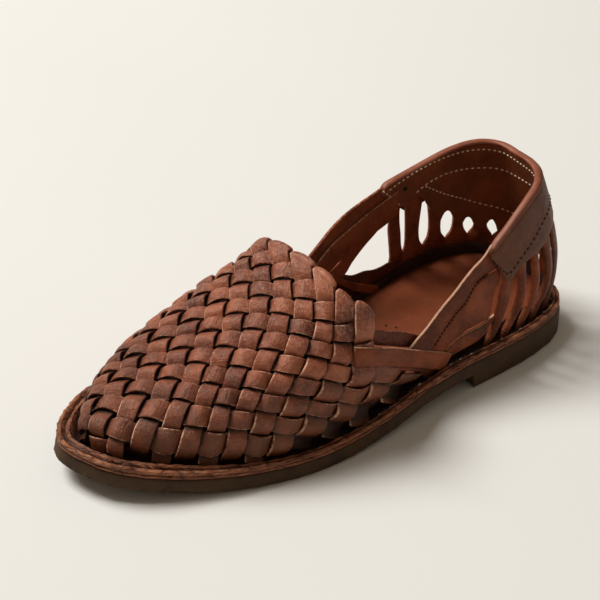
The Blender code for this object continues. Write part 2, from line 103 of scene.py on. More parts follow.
# Where the crossings of the weave lie on the flat pattern of the vamp: one row for each rising strap,
# from the toe back, with the sweeping straps -2 to 19 along it. A pair is, in tenths of a millimetre,
# the distance from the back of the heel and that round the last from its crest, to the outer side.
WEAVE_FIRST = -2
WEAVE = (
    (3015, -64, 2925, -120, 2838, -174, 2755, -222, 2679, -262, 2609, -296, 2543, -327, 2479, -356,
     2416, -385, 2353, -416, 2291, -448, 2230, -484, 2173, -525, 2117, -570, 2064, -619, 2012, -672,
     1962, -728, 1913, -786, 1864, -846, 1816, -907, 1769, -969, 1722, -1031),
    (2947, 33, 2856, -26, 2766, -83, 2680, -135, 2605, -177, 2535, -212, 2470, -244, 2407, -276,
     2345, -308, 2283, -340, 2221, -374, 2162, -412, 2105, -454, 2051, -502, 1999, -553, 1949, -608,
     1900, -666, 1851, -726, 1804, -787, 1756, -849, 1709, -911, 1662, -974),
    (2879, 132, 2787, 71, 2694, 10, 2603, -47, 2529, -92, 2460, -127, 2397, -161, 2334, -197,
     2275, -231, 2212, -265, 2150, -301, 2093, -340, 2038, -384, 1986, -434, 1935, -488, 1886, -545,
     1838, -605, 1790, -666, 1743, -728, 1696, -791, 1650, -854, 1603, -917),
    (2812, 233, 2733, 173, 2626, 107, 2524, 42, 2453, -4, 2383, -42, 2322, -77, 2260, -120, 2204, -157,
     2141, -192, 2079, -228, 2024, -267, 1971, -314, 1921, -367, 1872, -424, 1824, -484, 1777, -545,
     1730, -608, 1683, -671, 1637, -734, 1590, -797, 1544, -860),
    (2766, 336, 2679, 276, 2590, 213, 2454, 148, 2371, 87, 2300, 45, 2242, 0, 2187, -45, 2126, -85,
     2065, -121, 2006, -157, 1957, -195, 1907, -245, 1858, -301, 1810, -362, 1763, -424, 1717, -487,
     1671, -550, 1624, -614, 1578, -677, 1532, -741, 1485, -805),
    (2726, 479, 2645, 419, 2509, 308, 2388, 232, 2301, 177, 2226, 126, 2166, 78, 2110, 37, 2054, -3,
     1998, -40, 1948, -87, 1897, -125, 1845, -180, 1796, -240, 1749, -303, 1704, -366, 1658, -430,
     1612, -494, 1566, -558, 1520, -622, 1474, -686, 1427, -750),
    (2613, 582, 2540, 522, 2445, 411, 2333, 314, 2247, 259, 2172, 210, 2105, 163, 2041, 121, 1988, 71,
     1934, 33, 1878, -19, 1832, -68, 1781, -122, 1735, -184, 1690, -247, 1645, -311, 1600, -375,
     1554, -439, 1508, -503, 1462, -567, 1416, -631, 1370, -695),
    (2482, 662, 2413, 597, 2340, 458, 2265, 382, 2193, 336, 2122, 287, 2055, 246, 1985, 198, 1929, 150,
     1874, 103, 1821, 45, 1771, -11, 1719, -67, 1677, -130, 1633, -194, 1589, -257, 1543, -321,
     1497, -385, 1451, -448, 1405, -512, 1358, -576, 1312, -640),
    (2335, 738, 2276, 673, 2246, 538, 2197, 449, 2133, 403, 2068, 362, 1998, 322, 1931, 283, 1869, 236,
     1812, 182, 1760, 124, 1712, 61, 1668, -12, 1625, -77, 1579, -140, 1533, -203, 1487, -266,
     1440, -329, 1394, -393, 1347, -457, 1301, -521, 1255, -585),
    (2230, 803, 2178, 736, 2152, 594, 2122, 518, 2069, 473, 2008, 436, 1939, 400, 1870, 365, 1811, 323,
     1757, 268, 1709, 206, 1657, 135, 1612, 50, 1569, -18, 1523, -82, 1477, -146, 1430, -209,
     1383, -272, 1337, -336, 1290, -400, 1243, -464, 1197, -529),
    (2125, 877, 2081, 813, 2063, 684, 2035, 606, 1987, 560, 1929, 526, 1865, 493, 1800, 455, 1749, 410,
     1700, 360, 1656, 287, 1605, 207, 1558, 124, 1512, 50, 1466, -18, 1419, -84, 1372, -149, 1325, -213,
     1279, -278, 1232, -342, 1185, -407, 1139, -471),
    (2020, 954, 1979, 892, 1956, 783, 1933, 716, 1889, 664, 1834, 624, 1772, 584, 1717, 541, 1678, 490,
     1643, 435, 1592, 357, 1545, 277, 1499, 196, 1453, 120, 1406, 49, 1360, -19, 1313, -86, 1266, -152,
     1220, -217, 1173, -282, 1127, -348, 1080, -413),
    (1910, 1029, 1871, 971, 1851, 887, 1790, 854, 1769, 778, 1719, 734, 1662, 685, 1628, 637, 1604, 568,
     1578, 499, 1530, 425, 1483, 347, 1436, 268, 1391, 192, 1345, 118, 1299, 48, 1253, -21, 1206, -88,
     1160, -155, 1114, -221, 1067, -287, 1021, -353),
    (1781, 1126, 1741, 1073, 1702, 1022, 1662, 973, 1618, 927, 1579, 883, 1544, 838, 1536, 741,
     1509, 648, 1487, 572, 1452, 496, 1412, 419, 1369, 340, 1325, 263, 1281, 188, 1236, 116, 1191, 45,
     1145, -24, 1099, -91, 1053, -159, 1007, -225, 961, -292),
    (1688, 1244, 1648, 1193, 1608, 1144, 1567, 1097, 1525, 1051, 1434, 1115, 1365, 1093, 1327, 1020,
     1417, 743, 1397, 657, 1369, 575, 1335, 494, 1297, 414, 1257, 335, 1215, 259, 1172, 185, 1128, 112,
     1083, 42, 1038, -27, 993, -95, 947, -163, 901, -230),
    (1504, 1467, 1464, 1418, 1424, 1370, 1384, 1323, 1345, 1274, 1309, 1221, 1196, 1249, 1108, 1237,
     1324, 836, 1307, 745, 1285, 657, 1257, 572, 1224, 489, 1187, 408, 1148, 330, 1107, 254, 1064, 180,
     1020, 108, 976, 38, 931, -31, 886, -99, 841, -167))


# ---- the last ------------------------------------------------------------------------------------
def smooth_step(value):
    share = np.clip(value, 0.0, 1.0)
    return share * share * (3.0 - 2.0 * share)


def unit(vectors):
    return vectors / np.linalg.norm(vectors, axis=-1, keepdims=True)


def run_along(points):
    """Distance along a row of points, from its first one."""
    return np.concatenate([[0.0], np.cumsum(np.linalg.norm(np.diff(points, axis=0), axis=1))])


def points_at(marks, run, points):
    """Places on a row of points at some values of its run."""
    return np.stack([np.interp(marks, run, column) for column in points.T], -1)


def read_table(rows, station, column):
    """Smooth curve through a table's rows."""
    table = np.array(rows, float)
    x, y = table[:, 0], table[:, column]
    slope = np.empty_like(y)
    slope[1:-1] = (y[2:] - y[:-2]) / (x[2:] - x[:-2])
    slope[0], slope[-1] = (y[1] - y[0]) / (x[1] - x[0]), (y[-1] - y[-2]) / (x[-1] - x[-2])
    at = np.clip(station, x[0], x[-1])
    i = np.clip(np.searchsorted(x, at, side="right") - 1, 0, len(x) - 2)
    span = x[i + 1] - x[i]
    t = (at - x[i]) / span
    return (y[i] * (1 + 2 * t) * (1 - t) ** 2 + slope[i] * span * t * (1 - t) ** 2
            + y[i + 1] * t * t * (3 - 2 * t) + slope[i + 1] * span * t * t * (t - 1))


def closed_spline(points, steps):
    """Centripetal Catmull-Rom curve through a closed ring of points in the plan."""
    curve = []
    count = len(points)
    for index in range(count):
        p0, p1, p2, p3 = (np.array(points[(index + k - 1) % count], float) for k in range(4))
        t1 = math.dist(p0, p1) ** 0.5
        t2 = t1 + math.dist(p1, p2) ** 0.5
        t3 = t2 + math.dist(p2, p3) ** 0.5
        for step in range(steps):
            t = t1 + (t2 - t1) * step / steps
            a1 = p0 + (p1 - p0) * t / t1
            a2 = p1 + (p2 - p1) * (t - t1) / (t2 - t1)
            a3 = p2 + (p3 - p2) * (t - t2) / (t3 - t2)
            b1 = a1 + (a2 - a1) * t / t2
            b2 = a2 + (a3 - a2) * (t - t1) / (t3 - t1)
            curve.append(b1 + (b2 - b1) * (t - t1) / (t2 - t1))
    return np.array(curve)


def sole_plan():
    lateral = [(station, width) for station, width, _ in OUTLINE]
    medial = [(station, -width) for station, _, width in reversed(OUTLINE)]
    return closed_spline([(0.0, 0.0)] + lateral + [(LENGTH, TOE_TIP_Y)] + medial, 24)


def inset(plan, distance):
    """The plan moved inwards (outwards when the distance is negative)."""
    run = unit(np.roll(plan, -1, axis=0) - np.roll(plan, 1, axis=0))
    return plan + np.stack([run[:, 1], -run[:, 0]], 1) * np.asarray(distance)[..., None]


def halves(plan):
    """Both sides of a plan from the back of the heel to the tip of the toe, with run lengths."""
    tip = int(plan[:, 0].argmax())
    sides = {}
    for side, half in ((LATERAL, plan[:tip + 1]), (MEDIAL, np.vstack([plan[:1], plan[:tip - 1:-1]]))):
        sides[side] = (run_along(half), half)
    return sides


def sole_underside(x):
    toe = TOE_SPRING * (np.maximum(x - TOE_SPRING_X, 0.0) / (LENGTH - TOE_SPRING_X)) ** 2
    return toe + HEEL_LIFT * smooth_step((ARCH_FRONT_X - x) / ARCH_REACH)


def floor_side(x):
    return np.where(x <= HEEL_BREAST_X, 0.0, sole_underside(x))


def rubber_top(x):
    return sole_underside(x) + RUBBER_THICK


def feather_height(x):
    return rubber_top(x) + MIDSOLE_THICK


PLAN = sole_plan()
FEATHER = halves(inset(PLAN, FEATHER_INSET))


def last_point(foot, angle, side):
    """Point of the last over a foot of its edge; angle 0 is the edge, a quarter turn the crest."""
    foot_x, foot_y = foot[..., 0], foot[..., 1]
    crest_x = np.clip(foot_x, HEEL_FAN_X, TOE_FAN_X)
    crest_y = read_table(CREST, crest_x, 2)
    base = feather_height(foot_x) + SEAT_GAP
    rise = np.sin(angle) ** (2.0 / FULLNESS)
    share = np.maximum(np.cos(angle), 0.0) ** (2.0 / FULLNESS)
    upright = (read_table(CREST, foot_x, 1) - base) * rise
    share = share * (1.0 + read_table(SPREAD, foot_x, side) * smooth_step(upright / SPREAD_HEIGHT))
    x = crest_x + (foot_x - crest_x) * share
    y = crest_y + (foot_y - crest_y) * share
    height = base + (read_table(CREST, x, 1) - base) * rise
    raised = np.clip((height - base) / HEEL_LEAN_HEIGHT, 0.0, 1.0)
    swell = SWELL_PEAK * raised * (1.0 - raised) ** 2
    x = x + (HEEL_LEAN * raised ** 1.5 - HEEL_BULGE * swell) * np.maximum(1.0 - x / HEEL_LEAN_REACH, 0.0)
    reach = (INWARD_LEAN_FRONT - x) / (INWARD_LEAN_FRONT - INWARD_LEAN_BACK)
    y = y - INWARD_LEAN * raised * smooth_step(reach)
    direction = np.degrees(np.arctan2(foot_y, HEEL_SET_X - foot_x))
    whole = np.clip(raised / HEEL_SET_RISE, 0.0, 1.0) ** 1.5
    return np.stack([x + read_table(HEEL_SET, direction, 1) * whole,
                     y + read_table(HEEL_SET, direction, 2) * whole, height], -1)


def last_at(around, height):
    """Point of the last at a signed distance round its edge and at a height."""
    around, height = np.broadcast_arrays(np.asarray(around, float), np.asarray(height, float))
    point = np.empty(around.shape + (3,))
    for side, mask in ((LATERAL, around >= 0.0), (MEDIAL, around < 0.0)):
        run, half = FEATHER[side]
        distance = np.abs(around[mask])
        foot = points_at(distance, run, half)
        base = feather_height(foot[:, 0]) + SEAT_GAP
        share = np.clip((height[mask] - base) / (read_table(CREST, foot[:, 0], 1) - base), 0.0, 1.0)
        place = last_point(foot, np.arcsin(share ** (FULLNESS / 2.0)), side)
        place[:, 2] = np.minimum(place[:, 2], height[mask])
        point[mask] = place
    return point


def outward_at(around, height):
    along = last_at(around + 1.0, height) - last_at(around - 1.0, height)
    upward = last_at(around, height + 1.0) - last_at(around, height - 1.0)
    return unit(np.cross(upward, along))


def wall(around, height, offset):
    """Point of a quarter at a height, offset from the last along its normal."""
    around, height, offset = np.broadcast_arrays(*(np.asarray(v, float) for v in (around, height, offset)))
    level = height
    for _ in range(3):
        normal = outward_at(around, level)
        level = height - normal[..., 2] * offset
    return last_at(around, level) + normal * offset[..., None]


TOPLINE_GUESS, TOPLINE_ROUNDS = 60.0, 8


def topline(around):
    """Height of the opening over a foot of the last."""
    around = np.asarray(around, float)
    height = np.full(around.shape, TOPLINE_GUESS)
    for _ in range(TOPLINE_ROUNDS):
        station = last_at(around, height)[..., 0]
        lateral, medial = read_table(TOPLINE, station, 1), read_table(TOPLINE, station, 2)
        height = height * 0.3 + np.where(around >= 0.0, lateral, medial) * 0.7
    return height


# ---- the vamp's flat pattern ---------------------------------------------------------------------
PATTERN_START, PATTERN_STEP, PATTERN_REACH = 60.0, 2.0, 150
FAN_STEP = 3.0
FAN_ANGLES = np.arange(-90.0, 90.1, FAN_STEP)


def pattern_column(foot, side):
    """Points along a section of the last at every millimetre from its crest, and its length."""
    angles = np.linspace(math.pi / 2, 0.0, 121)
    feet = np.broadcast_to(np.asarray(foot, float), (len(angles), 2))
    section = last_point(feet, angles, side)
    run = run_along(section)
    marks = np.arange(PATTERN_REACH, dtype=float)
    column = points_at(marks, run, section)
    column[:, 2] -= np.maximum(marks - run[-1], 0.0)
    return column, run[-1]


def pattern_grids():
    stations = np.arange(PATTERN_START, TOE_FAN_X + 0.1, PATTERN_STEP)
    grids, lengths = {}, {}
    for side in (LATERAL, MEDIAL):
        half = FEATHER[side][1]
        columns = [pattern_column((x, np.interp(x, half[:, 0], half[:, 1])), side) for x in stations]
        grids[side] = np.array([column for column, _ in columns])
        lengths[side] = np.array([length for _, length in columns])
    ridge = np.array([TOE_FAN_X, float(read_table(CREST, TOE_FAN_X, 2))])
    edge = np.vstack([FEATHER[MEDIAL][1][::-1], FEATHER[LATERAL][1]])
    edge = edge[edge[:, 0] >= TOE_FAN_X - 4.0]
    turn = np.degrees(np.arctan2(edge[:, 1] - ridge[1], edge[:, 0] - ridge[0]))
    order = np.argsort(turn)
    edge, turn = edge[order], turn[order]
    fan = []
    for angle in FAN_ANGLES:
        foot = points_at(angle, turn, edge)
        foot[0] = max(foot[0], TOE_FAN_X)
        fan.append(pattern_column(foot, LATERAL if angle > 0 else MEDIAL))
    return grids, lengths, np.array([column for column, _ in fan]), np.array([length for _, length in fan])


SIDE_GRIDS, SIDE_LENGTHS, FAN_GRID, FAN_LENGTHS = pattern_grids()


def mixed(grid, row, column):
    """Reads a grid between its nodes."""
    row = np.clip(row, 0.0, grid.shape[0] - 1.001)
    column = np.clip(column, 0.0, grid.shape[1] - 1.001)
    i, j = row.astype(int), column.astype(int)
    s, t = (row - i)[..., None], (column - j)[..., None]
    return ((grid[i, j] * (1 - t) + grid[i, j + 1] * t) * (1 - s)
            + (grid[i + 1, j] * (1 - t) + grid[i + 1, j + 1] * t) * s)


def pattern_point(u, v):
    point = np.empty(u.shape + (3,))
    for side in (LATERAL, MEDIAL):
        mask = (u <= TOE_FAN_X) & ((v >= 0) == (side == LATERAL))
        point[mask] = mixed(SIDE_GRIDS[side], (u[mask] - PATTERN_START) / PATTERN_STEP, np.abs(v[mask]))
    mask = u > TOE_FAN_X
    angle = np.degrees(np.arctan2(v[mask], u[mask] - TOE_FAN_X))
    point[mask] = mixed(FAN_GRID, (angle + 90.0) / FAN_STEP, np.hypot(v[mask], u[mask] - TOE_FAN_X))
    return point


def pattern_room(u, v):
    """Distance left on the flat pattern before the foot of the last."""
    stations = np.arange(len(SIDE_LENGTHS[LATERAL])) * PATTERN_STEP + PATTERN_START
    length = np.where(v >= 0, np.interp(u, stations, SIDE_LENGTHS[LATERAL]),
                      np.interp(u, stations, SIDE_LENGTHS[MEDIAL]))
    angle = np.degrees(np.arctan2(v, u - TOE_FAN_X))
    fan = np.interp(angle, FAN_ANGLES, FAN_LENGTHS)
    return np.where(u <= TOE_FAN_X, length - np.abs(v), fan - np.hypot(v, u - TOE_FAN_X))


def widen(grid, count):
    """Lengthens a grid of points at its four sides, in the direction it ends with."""
    for axis in (0, 1):
        grid = np.moveaxis(grid, axis, 0)
        first, last = grid[0] - grid[1], grid[-1] - grid[-2]
        steps = np.arange(1, count + 1)[:, None, None]
        grid = np.concatenate([(grid[0] + first * steps)[::-1], grid, grid[-1] + last * steps])
        grid = np.moveaxis(grid, 0, axis)
    return grid


WEAVE_MARGIN = 4
WEAVE_NET = widen(np.array(WEAVE).reshape(len(WEAVE), -1, 2) / 10.0, WEAVE_MARGIN)


def spline_weights(share):
    return (np.stack([(1 - share) ** 3, 3 * share ** 3 - 6 * share ** 2 + 4,
                      -3 * share ** 3 + 3 * share ** 2 + 3 * share + 1, share ** 3], -1) / 6.0)


def weave_point(rising, sweeping):
    """Point of the flat pattern at a place of the weave, counted in straps each way."""
    a = np.clip(rising - WEAVE_FIRST + WEAVE_MARGIN, 1.0, WEAVE_NET.shape[0] - 2.001)
    b = np.clip(sweeping - WEAVE_FIRST + WEAVE_MARGIN, 1.0, WEAVE_NET.shape[1] - 2.001)
    i, j = a.astype(int), b.astype(int)
    wa, wb = spline_weights(a - i), spline_weights(b - j)
    place = np.zeros(a.shape + (2,))
    for m in range(4):
        for n in range(4):
            place += WEAVE_NET[i + m - 1, j + n - 1] * (wa[..., m] * wb[..., n])[..., None]
    return place[..., 0], place[..., 1]


NORMAL_REACH = 1.5  # distance over which the vamp's slope is read
TUCK_FROM, TUCK_OVER = 205.0, 55.0  # where the toe begins to be drawn in, and over what length


def on_vamp(rising, sweeping):
    """Place on the last and outward normal at a place of the weave."""
    u, v = weave_point(rising, sweeping)
    along = pattern_point(u + NORMAL_REACH, v) - pattern_point(u - NORMAL_REACH, v)
    across = pattern_point(u, v + NORMAL_REACH) - pattern_point(u, v - NORMAL_REACH)
    normal = unit(np.cross(along, across))
    point = pattern_point(u, v)
    tuck = TOE_TUCK * smooth_step((point[..., 0] - TUCK_FROM) / TUCK_OVER)
    return point - normal * tuck[..., None] * (1.0, 1.0, 0.0), normal


# ---- making pieces -------------------------------------------------------------------------------
WELD = 0.02 * MM


def to_world(points):
    return (np.asarray(points, float) - (LENGTH / 2.0, 0.0, 0.0)) * MM


def finish_piece(piece, material, slot, *nodes):
    """A made piece gets its finish, the CAD solids it stands for and the shoe's body; slot is not used."""
    piece.data.materials.clear()
    piece.data.materials.append(material)
    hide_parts(*nodes)
    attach(piece, "root")
    return piece


def close_up(crease):
    """Merges the new piece's doubled points, turns its faces outwards and smooths all but sharp edges."""
    bpy.ops.object.mode_set(mode="EDIT")
    bpy.ops.mesh.select_all(action="SELECT")
    bpy.ops.mesh.remove_doubles(threshold=WELD)
    bpy.ops.mesh.normals_make_consistent(inside=False)
    bpy.ops.mesh.select_all(action="DESELECT")
    bpy.ops.object.mode_set(mode="OBJECT")
    bpy.ops.object.shade_smooth_by_angle(angle=math.radians(crease))


def skin(name, rings, finish, capped=True, crease=50.0):
    """Leather laid as a flat grid, moved onto rings of section points and closed at its ends.

    finish holds, for each point, how raw its leather is, its tone and how much it is darkened, mostly as
    painted shade in folds, gaps and crevices.
    """
    rings = np.asarray(rings, float)
    finish = np.broadcast_to(finish, rings.shape)
    if capped:
        tips = [np.broadcast_to(ring.mean(axis=0), ring.shape) for ring in (rings[0], rings[-1])]
        rings = np.concatenate([tips[:1], rings, tips[1:]])
        finish = np.concatenate([finish[:1], finish, finish[-1:]])
    rings = np.concatenate([rings, rings[:, :1]], axis=1)
    finish = np.concatenate([finish, finish[:, :1]], axis=1)
    count, size = rings.shape[:2]
    length = run_along(rings.mean(axis=1))
    girth = run_along(rings[count // 2])
    bpy.ops.mesh.primitive_grid_add(x_subdivisions=size - 1, y_subdivisions=count - 1, size=1.0)
    piece = bpy.context.object
    piece.name = piece.data.name = name
    mesh = piece.data
    mesh.vertices.foreach_set("co", to_world(rings).ravel())
    flat = np.stack(np.broadcast_arrays(length[:, None], girth[None, :]), -1).reshape(-1, 2) * MM
    corners = np.empty(len(mesh.loops), dtype=np.int32)
    mesh.loops.foreach_get("vertex_index", corners)
    mesh.uv_layers[0].data.foreach_set("uv", flat[corners].ravel())
    layer = mesh.attributes.new("finish", "FLOAT_COLOR", "POINT")
    colours = np.concatenate([finish, np.ones(finish.shape[:2] + (1,))], axis=2)
    layer.data.foreach_set("color", colours.astype(np.float32).ravel())
    close_up(crease)
    return piece


# Section of a cut strap: share of the half width, height over its middle in mm, rawness.
STRAP_SECTION = np.array((
    (-1.00, -0.30, 1.0), (-0.985, 0.38, 1.0), (-0.93, 0.66, 0.30), (-0.80, 0.78, 0.0), (-0.50, 0.88, 0.0),
    (-0.17, 0.94, 0.0), (0.17, 0.94, 0.0), (0.50, 0.88, 0.0), (0.80, 0.78, 0.0), (0.93, 0.66, 0.30),
    (0.985, 0.38, 1.0), (1.00, -0.30, 1.0), (0.93, -0.72, 0.2), (0.0, -0.75, 0.0), (-0.93, -0.72, 0.2)))


def sway(rng, size):
    """A slow wandering along a strap, different for each."""
    phases = [(rng.uniform(0.0, 6.28), rng.uniform(0.5, 2.2), rng.uniform(0.4, 1.0)) for _ in range(3)]
    total = sum(weight for _, _, weight in phases)
    return lambda t: size * sum(weight * np.sin(rate * t + phase) for phase, rate, weight in phases) / total


# ---- the weave -----------------------------------------------------------------------------------
STRAP_HALVES = (0.425, 0.41)  # half widths of rising and sweeping straps, as shares of their spacing
MOUTH_HALF = 0.475  # the same at the opening
WEAVE_RISE = 1.9  # how far a strap rises and dips about its middle level
WEAVE_ROUND = 0.35  # how flat its waves are on top
WEAVE_LEVEL = -1.35
STRAP_STEP = 0.075  # from ring to ring, in straps
THROAT = 17.45  # the opening's edge crosses the weave where both counts add up to this
FOLD_RADIUS = 1.5
FOLD_RINGS = 8  # round a fold, and along what is turned in behind it
HEM_STEP = 0.07
FOOT_OVERRUN = 1.7  # how far past the foot of the last a strap still counts as on it
RISING, SWEEPING = 0, 1
# How pale each line of a strap is across it, for rising and for sweeping straps: raw cut edges, paler where
# they face the light as a painted highlight.
STRAP_RAW_AND_HIGHLIGHT = ((0.9, 1, 1, 0, 0, 0, 0, 0, 0, 0.2, 0.2, 0.2, 0, 0, 0),
              (0.3, 0.6, 0.8, 0, 0, 0, 0, 0, 0, 0.8, 0.7, 0.5, 0, 0, 0))
# How much painted shade each line gets, on the walls and underside turned from the light.
STRAP_SHADE = ((0.2, 0, 0, 0, 0, 0, 0, 0, 0, 0, 0.5, 1, 1, 1, 1),
              (1, 0.15, 0, 0, 0, 0, 0, 0, 0, 0, 0, 0.5, 1, 1, 1))
SHADE_SHIFT = (0.06, -0.05)  # how far along the strap the painted shade of a dip lies from its lowest place
# Painted shade at the ends of a strap, down by the welt.
END_SHADE = 0.30
# Name, first and last strap, stretch searched for its run, and first seed.
WEAVE_KINDS = (("rising", -3, 13, -4.0, 22.0, 100), ("sweeping", -3, 18, -5.0, 16.0, 200))
SWEEPING_STOPS = {0: 9.45, 1: 10.45, 2: 11.4, 3: 11.62, 4: 12.9, 5: 11.3}


def weave_strap(name, kind, index, start, stop, folded, rng, tucked):
    """One strap of the weave, over and under its neighbours, folded in at the opening if asked."""
    marks = np.arange(start, stop + STRAP_STEP, STRAP_STEP)
    reach, drawn = stop - start, marks[-1] - start
    marks = marks * reach / drawn + start * (1 - reach / drawn)
    turns = np.zeros(len(marks))
    sign = -1.0 if kind == RISING else 1.0
    parity = np.cos(math.pi * (index + marks)) * sign
    wave = np.tanh(WEAVE_ROUND * parity) / math.tanh(WEAVE_ROUND)
    dip = np.cos(math.pi * (index + marks + SHADE_SHIFT[kind])) * sign
    if folded:
        last = marks > round(THROAT - 0.45 - index)
        wave, dip = np.where(last, 1.0, wave), np.where(last, 1.0, dip)
    level = WEAVE_LEVEL + WEAVE_RISE * wave + sway(rng, 0.12)(marks * 2.0)
    if folded:
        angles = np.linspace(0.0, math.pi, FOLD_RINGS + 1)[1:]
        back = np.arange(1, FOLD_RINGS + 1) * HEM_STEP
        marks = np.concatenate([marks, np.full(FOLD_RINGS, marks[-1]), marks[-1] - back])
        turns = np.concatenate([turns, angles, np.full(FOLD_RINGS, math.pi)])
        level = np.concatenate([level, np.full(2 * FOLD_RINGS, level[-1])])
    across = STRAP_HALVES[kind] * (1.0 + sway(rng, 0.06)(marks * 1.7))
    forward = np.full(marks.shape, float(index)) if kind == RISING else marks
    across = across * (1.0 - 0.10 * smooth_step((4.5 - forward) / 4.0))
    if kind == SWEEPING or folded:
        across = across + (MOUTH_HALF - across) * smooth_step(1.0 - np.abs(index + marks - THROAT) / 1.6)
    shift = sway(rng, 0.035)(marks)
    tilt = sway(rng, 0.16)(marks * 1.3)
    side, thick, _ = STRAP_SECTION.T
    place = shift[:, None] + across[:, None] * side
    along = np.broadcast_to(marks[:, None], place.shape)
    if folded:
        slant = np.where(turns > 0.0, 1.0, smooth_step((marks - stop + 1.1) / 1.1))[:, None]
        along = along - slant * (0.9 * place + 0.10 * side ** 2)
    put = (lambda t, d: (index + d, t)) if kind == RISING else (lambda t, d: (t, index + d))
    point, normal = on_vamp(*put(along, place))
    ahead, behind = (on_vamp(*put(along + step, place + step))[0] for step in (0.05, -0.05))
    ahead = unit(ahead - behind)
    lift = FOLD_RADIUS + thick + tilt[:, None] * side
    base = (level - FOLD_RADIUS)[:, None]
    rings = (point + normal * (base + lift * np.cos(turns)[:, None])[..., None]
             + ahead * (lift * np.sin(turns)[:, None])[..., None])
    tone = rng.uniform(0.42, 0.72) + sway(rng, 0.16)(marks * 1.5)
    # Painted shade: dark in the dips under crossing straps, at the strap's ends and on its walls turned
    # from the light.
    fold = 0.25 - 0.25 * np.concatenate([dip, np.ones(len(marks) - len(dip))])
    fold = np.maximum(fold, END_SHADE * smooth_step((start + 0.22 - marks) / 0.3))
    if tucked and not folded:
        fold = np.maximum(fold, END_SHADE * smooth_step((marks - stop + 0.22) / 0.3))
    wall_shade = np.where(turns[:, None] > 0.0, 0.0, np.array(STRAP_SHADE[kind]))
    fold = np.maximum(fold[:, None], wall_shade)
    # Pale raw edges, with a painted highlight on the edges that face the light.
    raw_and_highlight = np.array(STRAP_RAW_AND_HIGHLIGHT[kind]) * (0.75 + sway(rng, 0.35)(marks * 2.3))[:, None]
    return skin(name, rings, np.stack(np.broadcast_arrays(raw_and_highlight, tone[:, None], fold), -1))


def strap_run(kind, index, low, high):
    """How far a strap of the weave runs before it reaches the foot of the last."""
    marks = np.arange(low, high, 0.02)
    fixed = np.full(marks.shape, float(index))
    u, v = weave_point(fixed, marks) if kind == RISING else weave_point(marks, fixed)
    inside = pattern_room(u, v) > -FOOT_OVERRUN
    if not inside.any():
        return None
    best = max(np.split(np.arange(len(marks)), np.where(~inside)[0]), key=len)
    best = best[inside[best]]
    return (marks[best[0]], marks[best[-1]]) if len(best) > 40 else None


def strap_stop(kind, index, stop):
    """Where a strap ends: at the opening, under a neighbour or at the foot of the last."""
    if kind == SWEEPING:
        if index >= 6:
            stop = min(stop, max(17.3 - index, 3.3))
        return min(stop, SWEEPING_STOPS.get(index, stop))
    if index >= 12:
        return 17.1 - index
    return THROAT - index + (0.3 if index == 11 else 0.0) if index >= 3 else stop


def build_weave(material):
    for kind, (label, first, final, low, high, seed) in enumerate(WEAVE_KINDS):
        for index in range(first, final + 1):
            run = strap_run(kind, index, low, high)
            if run is None:
                continue
            stop = strap_stop(kind, index, run[1])
            if kind == SWEEPING and run[0] >= stop - 0.8:
                continue
            folded = kind == RISING and 3 <= index <= 11
            strap = weave_strap(f"{label}_strap_{index + 4:02d}", kind, index, run[0], stop, folded,
                                random.Random(seed + index), tucked=stop == run[1])
            finish_piece(strap, material, "woven_leather", "upper")


BACKING_DEPTHS = (3.9, 4.5)  # of the backing's faces under the level of the last
BACKING_LIFT = 1.8  # how far it stays over the rubber


def build_underlay(material):
    """A thin dark backing under the weave, from the toe to a little short of the opening: painted shade, so
    that the gaps show the dark inside of the shoe.
    """
    sweep = np.linspace(-3.0, 19.0, 150)
    rings = []
    for rising in np.linspace(-2.0, 12.2, 110):
        reach = np.clip(sweep, None, THROAT - 1.1 - rising)
        point, normal = on_vamp(np.full(sweep.shape, rising), reach)
        upper, lower = (point - normal * depth for depth in BACKING_DEPTHS)
        rings.append(np.concatenate([upper, lower[::-1]]))
    rings = np.array(rings)
    rings[..., 2] = np.maximum(rings[..., 2], rubber_top(rings[..., 0]) + BACKING_LIFT)
    shadow_underlay = skin("vamp_shadow_backing", rings, (0.0, 0.5, 0.0))
    finish_piece(shadow_underlay, material, "woven_leather", "upper")


# ---- straps of the quarters ------------------------------------------------------------------------
def smooth_path(points, count):
    """Evenly spaced points on a smooth curve through a few given ones."""
    points = np.array(points, float)
    run = run_along(points)
    rows = np.column_stack([run, points])
    marks = np.linspace(0.0, run[-1], count)
    return np.stack([read_table(rows, marks, k + 1) for k in range(points.shape[1])], -1)


STRAP_THICK = 1.5  # of the section as it is drawn
CROWN_SHARE = 0.14  # of a strap's length, over which its crown comes up


def quarter_strap(name, edges, offset, rng, raw, tone, thick=STRAP_THICK, crown=0.0, count=60, trim=0.0):
    """A strap laid on a quarter between two edges given by distance round the last and height.

    offset is the height of its middle over the last, at even stations from its start to its end.
    """
    one, two = (smooth_path(edge, count) for edge in edges)
    one, two = one + (two - one) * trim, two + (one - two) * trim
    share = np.linspace(0.0, 1.0, count)
    across, height, rawness = STRAP_SECTION.T
    side = (across[None, :, None] + 1.0) / 2.0
    place = one[:, None] * (1.0 - side) + two[:, None] * side
    offset = np.interp(share, np.linspace(0.0, 1.0, len(offset)), offset)
    arch = crown * smooth_step(np.minimum(share, 1.0 - share) / CROWN_SHARE)[:, None]
    level = height * thick / STRAP_THICK + arch * (1.0 - across ** 2) * (height > -0.5)
    level = level + offset[:, None] + sway(rng, 0.12)(share * 9.0)[:, None]
    rings = wall(place[..., 0], place[..., 1], level)
    shade = tone + sway(rng, 0.15)(share * 7.0)
    # Raw edges, one value for each side; where one is much paler it is partly a painted highlight on the
    # edge facing the light.
    raw_and_highlight = rawness * np.where(across < 0.0, raw[0], raw[1])
    return skin(name, rings, np.stack(np.broadcast_arrays(raw_and_highlight, shade[:, None], 0.0), -1))


def moved_edge(edge, rise):
    return tuple((around, height + rise) for around, height in edge)


